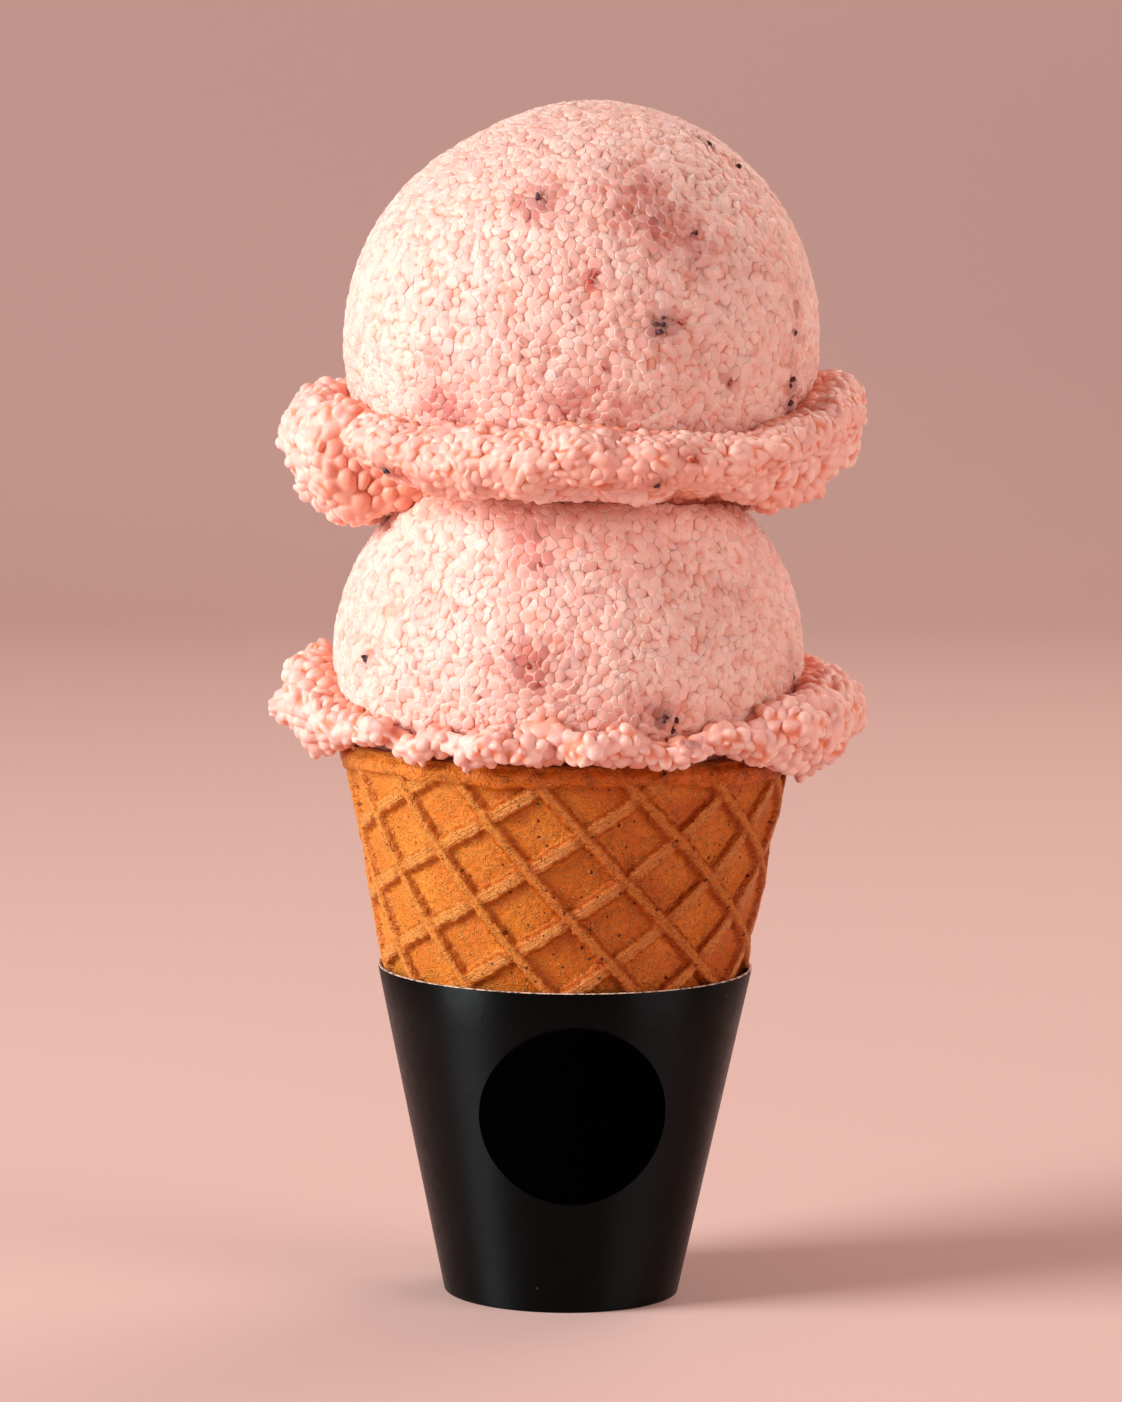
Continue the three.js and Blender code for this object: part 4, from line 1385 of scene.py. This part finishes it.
def upper_pieces(settings, centre, draw):
    """The same for the upper ball, its collar and the roll over its front."""
    shows = outside_of(centre, settings)
    shift = np.array([centre[0], 0, 0])
    ball = ball_lattice(centre, shoulder_sink, UPPER_SHOWS, UPPER_UNDER, settings, draw)
    collar = collar_lattice(UPPER_COLLAR, shift, UPPER_HOLLOW, UPPER_FLARES, shows, settings, draw)
    roll = front_roll_lattice(shift, shows, settings, draw)
    return [
        ("upper_ball", ball, flakes(settings), UPPER_BALL_SHADES),
        ("upper_collar", collar, beads(settings), UPPER_COLLAR_SHADES),
        ("front_roll", roll, crumbs(settings), FRONT_ROLL_SHADES),
    ]


def ice_cream(settings):
    """Both balls, their collars and rolls, and the fruit in them."""
    draw = np.random.default_rng(settings.seed)
    material = ice_cream_material(settings)
    tree = grain_tree()
    lower = np.array([0, 0, settings.lower_height / MM])
    upper = np.array([settings.upper_shift / MM, 0, settings.upper_height / MM])
    scoops = [
        ("lower_scoop", lower, LOWER_FRUIT, lower_pieces(settings, lower, draw)),
        ("upper_scoop", upper, UPPER_FRUIT, upper_pieces(settings, upper, draw)),
    ]
    seed = settings.seed
    balls = []
    for node, centre, fruit, rows in scoops:
        surfaces = []
        for name, lattice, inputs, shades in rows:
            seeded = dict(inputs, Seed=seed)
            piece = grained(name, lattice, centre, fruit, tree, seeded, material, shades)
            surfaces.append(surface_of(piece))
            finished(piece, "ice_cream", node)
            seed += 1
        balls.append((centre, fruit, surfaces[:1], surfaces[1:]))
    finished(fruit_piece(fruit_material(settings), balls, draw), "ice_cream")


# Waffle cone

def cone_radius(settings, height):
    """Outer radius of the cone above the sleeve, in millimetres."""
    return settings.radius / MM + settings.taper * (height - settings.radius_height / MM)


def sleeved_radius(sleeve, height):
    """Outer radius of the cone inside the sleeve, in millimetres."""
    slope = (sleeve.rim_radius - sleeve.base_radius) / MM / (sleeve.height / MM)
    return (sleeve.base_radius - sleeve.wall) / MM - SLEEVE_GAP + slope * height


def tube_faces(columns, rows):
    """Faces of a profile turned about an axis, with a small cap on each end."""
    low = [column * rows for column in range(columns)]
    high = [column * rows + rows - 1 for column in range(columns)]
    return grid_quads(columns, rows, True, False).tolist() + [low[::-1], high]


def waffle_profile(settings, sleeve):
    """Radii and heights from the foot over the rim to the inner floor, and where ribs show."""
    rim, foot, wall = settings.rim_height / MM, settings.foot_height / MM, settings.wall / MM
    outer, inner_floor, deep = rim - 0.5, foot + 3, 60
    foot_radius = sleeved_radius(sleeve, foot)
    hidden = [(CAP_RADIUS, foot), (foot_radius - 0.8, foot), (foot_radius, foot + 0.8)]
    hidden += [(sleeved_radius(sleeve, height), height)
               for height in np.linspace(foot + 6, WAFFLE_SHOULDER - 2, 5)]
    seen = [(cone_radius(settings, height), height)
            for height in np.linspace(WAFFLE_SHOULDER, outer, WAFFLE_ROWS)]
    middle = cone_radius(settings, rim) - wall / 2
    edge = [(middle + wall / 2 * math.cos(turn * math.pi), outer + 0.5 * math.sin(turn * math.pi))
            for turn in np.linspace(0.25, 0.75, 3)]
    inner = [(cone_radius(settings, height) - wall, height) for height in (outer, deep)]
    inner += [(sleeved_radius(sleeve, inner_floor) - wall, inner_floor), (CAP_RADIUS, inner_floor)]
    shows = [0.0] * len(hidden) + [1.0] * len(seen) + [0.0] * len(edge + inner)
    return hidden + seen + edge + inner, shows


def waffle_base(settings, sleeve, material):
    """The smooth cone that the ribs and cells are pressed into."""
    profile, shows = waffle_profile(settings, sleeve)
    radii, heights = np.array(profile).T
    azimuths = np.linspace(-180, 180, WAFFLE_COLUMNS, endpoint=False) + 180 / WAFFLE_COLUMNS
    points = onto_azimuth(azimuths[:, None], radii[None, :], heights[None, :]).reshape(-1, 3)
    piece = new_object("waffle_shell", points, tube_faces(WAFFLE_COLUMNS, len(profile)), [material])
    store(piece.data, "shows", np.tile(shows, WAFFLE_COLUMNS))
    return piece


def unrolled_place(tree, given, azimuth, radius):
    """Where a point of the cone lies once the cone is unrolled."""
    narrow = maths(tree, "SINE", given["Half angle"])
    slant = maths(tree, "DIVIDE", radius, narrow)
    turn = times(tree, azimuth, narrow)
    across = times(tree, slant, maths(tree, "SINE", turn))
    up = times(tree, slant, maths(tree, "COSINE", turn))
    return put(tree, "ShaderNodeCombineXYZ", [across, up, 0.0]).outputs[0]


def from_rib(tree, given, on_lattice, pitch, count, wander):
    """Distance from the middle of the nearest rib of one direction."""
    steps = vectors(tree, "DOT_PRODUCT", on_lattice, given[count])
    away = times(tree, maths(tree, "PINGPONG", steps, 0.5), given[pitch])
    return plus(tree, away, wander)


def rib_heights(tree, given, place, flat):
    """Falling ribs, rising ribs and both, from 1 on their tops to 0 in the cells."""
    on_lattice = vectors(tree, "SUBTRACT", flat, given["Lattice start"])
    wander = uneven(tree, place, 900.0, RIB_WANDER, roughness=0.6)
    to_falling = from_rib(tree, given, on_lattice, "Falling pitch", "Rising count", wander)
    to_rising = from_rib(tree, given, on_lattice, "Rising pitch", "Falling count", wander)
    falling_top = times(tree, given["Falling top"], 0.5)
    rising_top = times(tree, given["Rising top"], 0.5)
    half_foot = times(tree, given["Rib foot"], 0.5)
    falling = ramped(tree, to_falling, falling_top, half_foot, 1.0, 0.0)
    rising = ramped(tree, to_rising, rising_top, half_foot, 1.0, 0.0)
    groove = ramped(tree, to_falling, 0.0, 0.0003, 0.12, 0.0)
    notch = ramped(tree, to_falling, 0.0006, 0.0018, 0.72, 0.9)
    notched = times(tree, rising, notch)
    both = maths(tree, "MAXIMUM", minus(tree, falling, groove), notched)
    return falling, notched, both


def rim_band(tree, given, place, azimuth, height):
    """The band under the rim: 1 on it and 0 below it, and how far it stands out."""
    turns = times(tree, azimuth, BAND_WAVES)
    wave = times(tree, maths(tree, "SINE", turns), BAND_WAVE)
    rise = times(tree, maths(tree, "COSINE", azimuth), BAND_RISE)
    waving = plus(tree, wave, uneven(tree, place, 190.0, BAND_RAGGEDNESS))
    edge = plus(tree, plus(tree, given["Band height"], rise), waving)
    band = ramped(tree, minus(tree, height, edge), -0.0002, 0.0002)
    blister = uneven(tree, place, 420.0, BLISTER_HEIGHT, 0.45)
    return band, plus(tree, given["Band proud"], blister)


def lap_height(tree, azimuth, radius, height):
    """Height of the lap, whose edge runs up the back."""
    from_back = minus(tree, math.pi, maths(tree, "ABSOLUTE", azimuth))
    seam = times(tree, from_back, radius)
    lap = ramped(tree, seam, 0.0, LAP_WIDTH, LAP_HEIGHT, 0.0)
    one_side = ramped(tree, azimuth, 0.0, 0.1)
    return times(tree, times(tree, lap, one_side), ramped(tree, height, *LAP_FROM))


def outward(tree, azimuth, length):
    """A level vector away from the axis."""
    across = times(tree, maths(tree, "SINE", azimuth), length)
    forwards = times(tree, maths(tree, "COSINE", azimuth), times(tree, length, -1.0))
    return put(tree, "ShaderNodeCombineXYZ", [across, forwards, 0.0]).outputs[0]


def waffle_tree():
    """Geometry nodes that press the cells between crossed ribs into the cone."""
    tree, given = new_tree("waffle_pattern", WAFFLE_SOCKETS)
    place = put(tree, "GeometryNodeInputPosition").outputs[0]
    x, y, z = put(tree, "ShaderNodeSeparateXYZ", [place]).outputs
    azimuth = maths(tree, "ARCTAN2", x, times(tree, y, -1.0))
    squares = plus(tree, times(tree, x, x), times(tree, y, y))
    radius = maths(tree, "SQRT", squares)
    flat = unrolled_place(tree, given, azimuth, radius)
    falling, rising, ribs = rib_heights(tree, given, place, flat)
    band, proud = rim_band(tree, given, place, azimuth, z)
    sunk = times(tree, minus(tree, ribs, 1.0), given["Rib height"])
    pattern = plus(tree, sunk, uneven(tree, place, 260.0, CELL_UNEVENNESS))
    below = times(tree, pattern, minus(tree, 1.0, band))
    relief = plus(tree, below, times(tree, proud, band))
    tuck = ramped(tree, z, TUCK_TO, TUCK_FROM, -TUCK_DEPTH, 0.0)
    tucked = plus(tree, relief, tuck)
    lapped = plus(tree, tucked, lap_height(tree, azimuth, radius, z))
    height = times(tree, lapped, recalled(tree, "shows"))
    millimetres = along(tree, flat, 1 / MM)
    laid = stored(tree, given["Geometry"], "unrolled", millimetres, kind="FLOAT_VECTOR")
    for name, value in (("falling_rib", falling), ("rising_rib", rising), ("band", band)):
        laid = stored(tree, laid, name, value)
    return end_tree(tree, given, moved(tree, laid, outward(tree, azimuth, height)))


def waffle_inputs(settings, material):
    """Inputs of the waffle's pattern, with how far apart its ribs run."""
    falling = Vector(settings.falling_step)
    rising = Vector(settings.rising_step)
    cell = falling.x * rising.y - falling.y * rising.x
    return {
        "Half angle": math.atan(settings.taper),
        "Falling top": settings.falling_top,
        "Rising top": settings.rising_top,
        "Rib foot": settings.rib_foot,
        "Rib height": settings.rib_height,
        "Falling pitch": cell / falling.length,
        "Rising pitch": cell / rising.length,
        "Band height": settings.band_height,
        "Band proud": settings.band_proud,
        "Lattice start": (settings.lattice_start[0], settings.lattice_start[1], 0.0),
        "Falling count": (rising.y / cell, -rising.x / cell, 0.0),
        "Rising count": (-falling.y / cell, falling.x / cell, 0.0),
        "Material": material,
    }


def waffle_piece(settings, sleeve):
    """The waffle cone with its ribs, band and lap."""
    material = waffle_material(settings)
    piece = waffle_base(settings, sleeve, material)
    pattern = piece.modifiers.new("pattern", "NODES")
    pattern.node_group = waffle_tree()
    set_inputs(pattern, waffle_inputs(settings, material))
    return made_plain(piece)


# Card sleeve and label

def sleeve_profile(settings):
    """Radii and heights from the foot over the rim to the floor, and the rows of the cut edge."""
    base, rim = settings.base_radius / MM, settings.rim_radius / MM
    height, wall, floor = settings.height / MM, settings.wall / MM, settings.floor / MM
    slope = (rim - base) / height
    under_rim = height - RIM_ROUNDING
    foot = [(CAP_RADIUS, 0.1), (base - 2.2, 0.1), (base - 1.9, 0.0), (base - 0.12, 0.0)]
    outer = [(base + slope * level, level) for level in OUTER_LEVELS + [under_rim]]
    edge = [(rim - RIM_ROUNDING, height), (rim - wall + RIM_ROUNDING, height)]
    inner = [(base + slope * level - wall, level) for level in [under_rim] + INNER_LEVELS + [floor]]
    first_cut = len(foot + outer) - 1
    return foot + outer + edge + inner + [(CAP_RADIUS, floor)], range(first_cut, first_cut + 3)


def sleeve_piece(settings):
    """Card sleeve with a glued lap at the back and a pale cut edge on its rim."""
    profile, cut = sleeve_profile(settings)
    radii, heights = np.array(profile).T
    azimuths = np.linspace(-180, 180, SLEEVE_COLUMNS, endpoint=False)
    lap = np.degrees(settings.lap / MM / (settings.rim_radius / MM))
    flap = np.sqrt(np.clip(1 - (180 - azimuths) / lap, 0, 1))
    flap = np.where(azimuths > 0, flap, 0) * (settings.wall / MM) * FLAP_SHARE
    raised_rows = (heights > FLAP_FOOT) & (heights <= settings.height / MM)
    raised_rows &= radii > settings.base_radius / MM
    radii = radii[None, :] + flap[:, None] * raised_rows[None, :]
    points = onto_azimuth(azimuths[:, None], radii, heights[None, :]).reshape(-1, 3)
    faces = tube_faces(SLEEVE_COLUMNS, len(profile))
    materials = [card_material(settings), edge_material(settings)]
    piece = new_object("card_sleeve", points, faces, materials)
    for number, polygon in enumerate(piece.data.polygons[:len(faces) - 2]):
        polygon.material_index = 1 if number % (len(profile) - 1) in cut else 0
    return piece


def label_piece(settings):
    """Round label bent to the sleeve."""
    rings = np.concatenate([[0.02], np.linspace(0.2, 1, LABEL_RINGS)]) * settings.label_radius / MM
    face = settings.label_lift / MM
    radii = np.concatenate([rings[:-1], [rings[-1] - 0.06], [rings[-1]], rings[::-1]])
    levels = np.concatenate([[face] * len(rings), [face - 0.08], [0.05] * len(rings)])
    turns = np.linspace(0, 2 * math.pi, LABEL_COLUMNS, endpoint=False)
    across = radii[None, :] * np.cos(turns)[:, None]
    height = settings.label_height / MM + radii[None, :] * np.sin(turns)[:, None]
    slope = (settings.rim_radius - settings.base_radius) / settings.height
    card = settings.base_radius / MM + slope * height
    azimuth = math.degrees(settings.label_azimuth) + np.degrees(np.arcsin(across / card))
    points = onto_azimuth(azimuth, card + levels[None, :], height).reshape(-1, 3)
    faces = tube_faces(LABEL_COLUMNS, len(radii))
    return new_object("bare_label", points, faces, [label_material(settings)])


# Stage

def aimed(place, target, roll=0.0):
    """Matrix of a camera or light at a place that looks at a target."""
    ahead = (target - place).normalized()
    right = ahead.cross(Vector((0, 0, 1))).normalized()
    up = right.cross(ahead)
    turned_right = right * math.cos(roll) + up * math.sin(roll)
    turned_up = up * math.cos(roll) - right * math.sin(roll)
    matrix = Matrix((turned_right, turned_up, -ahead)).transposed().to_4x4()
    matrix.translation = place
    return matrix


def set_camera(settings):
    data = bpy.data.cameras.new("camera")
    data.lens = settings.lens
    data.sensor_width = 36
    data.clip_end = 20
    camera = bpy.data.objects.new("camera", data)
    bpy.context.scene.collection.objects.link(camera)
    place = Vector((settings.aside, -settings.distance, settings.eye_height))
    target = Vector((settings.aside, 0, settings.aim_height))
    camera.matrix_world = aimed(place, target, settings.roll)
    bpy.context.scene.camera = camera


def set_floor(settings):
    """A seamless sheet that bends up behind the cone."""
    profile = [(FLOOR_FRONT, 0)]
    for turn in np.linspace(0, math.pi / 2, FLOOR_STEPS):
        back = FLOOR_BEND + FLOOR_RADIUS * math.sin(turn)
        profile.append((back, FLOOR_RADIUS * (1 - math.cos(turn))))
    profile.append((FLOOR_BEND + FLOOR_RADIUS, FLOOR_TOP))
    points = [(side * FLOOR_SIDE, y, z) for y, z in profile for side in (-1, 1)]
    faces = [(2 * row, 2 * row + 1, 2 * row + 3, 2 * row + 2) for row in range(len(profile) - 1)]
    new_object("floor", points, faces, [stage_material(settings)])


def set_light(name, place, size, power, colour):
    data = bpy.data.lights.new(name, "AREA")
    data.shape = "RECTANGLE"
    data.spread = LIGHT_SPREAD
    data.size, data.size_y = size
    data.energy = power
    data.color = colour
    lamp = bpy.data.objects.new(name, data)
    bpy.context.scene.collection.objects.link(lamp)
    lamp.matrix_world = aimed(Vector(place), Vector(LIGHT_TARGET))


def studio(settings):
    """Camera, seamless pale floor and soft lights from the upper left."""
    set_camera(settings)
    set_floor(settings)
    for light in LIGHTS:
        set_light(*light)
    world = bpy.data.worlds.new("studio")
    world.use_nodes = True
    feed(world.node_tree, world.node_tree.nodes["Background"], [SKY_COLOUR, SKY_STRENGTH])
    bpy.context.scene.world = world
    bpy.context.scene.view_settings.view_transform = "Standard"


# Operators

class CONE_OT_stage(bpy.types.Operator):
    """Sets the camera, the floor and the lights"""

    bl_idname = "cone.stage"
    bl_label = "Stage"

    def execute(self, context):
        studio(context.scene.cone_stage)
        return {"FINISHED"}


class CONE_OT_sleeve(bpy.types.Operator):
    """Builds the card sleeve"""

    bl_idname = "cone.sleeve"
    bl_label = "Card sleeve"

    def execute(self, context):
        finished(sleeve_piece(context.scene.cone_sleeve), "sleeve_card", "paper_sleeve")
        return {"FINISHED"}


class CONE_OT_label(bpy.types.Operator):
    """Builds the bare round label"""

    bl_idname = "cone.label"
    bl_label = "Round label"

    def execute(self, context):
        finished(label_piece(context.scene.cone_sleeve), "label_paper", "round_label")
        return {"FINISHED"}


class CONE_OT_waffle(bpy.types.Operator):
    """Builds the waffle cone"""

    bl_idname = "cone.waffle"
    bl_label = "Waffle cone"

    def execute(self, context):
        scene = context.scene
        finished(waffle_piece(scene.cone_waffle, scene.cone_sleeve), "waffle", "waffle_cone")
        return {"FINISHED"}


class CONE_OT_ice_cream(bpy.types.Operator):
    """Builds both balls, their collars and the fruit in them"""

    bl_idname = "cone.ice_cream"
    bl_label = "Ice cream"

    def execute(self, context):
        ice_cream(context.scene.cone_ice_cream)
        return {"FINISHED"}


class CONE_PT_panel(bpy.types.Panel):
    """Lists the pieces of the cone"""

    bl_idname = "CONE_PT_panel"
    bl_label = "Ice Cream Cone"
    bl_space_type = "VIEW_3D"
    bl_region_type = "UI"
    bl_category = "Ice Cream"

    def draw(self, context):
        for operator in OPERATORS:
            self.layout.operator(operator.bl_idname)


GROUPS = {
    "cone_sleeve": SleeveSettings,
    "cone_waffle": WaffleSettings,
    "cone_ice_cream": IceCreamSettings,
    "cone_stage": StageSettings,
}
OPERATORS = (CONE_OT_stage, CONE_OT_sleeve, CONE_OT_label, CONE_OT_waffle, CONE_OT_ice_cream)


def register():
    for group in GROUPS.values():
        bpy.utils.register_class(group)
    for operator in OPERATORS:
        bpy.utils.register_class(operator)
    bpy.utils.register_class(CONE_PT_panel)
    for name, group in GROUPS.items():
        setattr(bpy.types.Scene, name, PointerProperty(type=group))


def unregister():
    for name in GROUPS:
        delattr(bpy.types.Scene, name)
    bpy.utils.unregister_class(CONE_PT_panel)
    for operator in reversed(OPERATORS):
        bpy.utils.unregister_class(operator)
    for group in reversed(GROUPS.values()):
        bpy.utils.unregister_class(group)


def main():
    register()
    bpy.ops.cone.stage()
    bpy.ops.cone.sleeve()
    bpy.ops.cone.label()
    bpy.ops.cone.waffle()
    bpy.ops.cone.ice_cream()


if __name__ == "__main__":
    main()
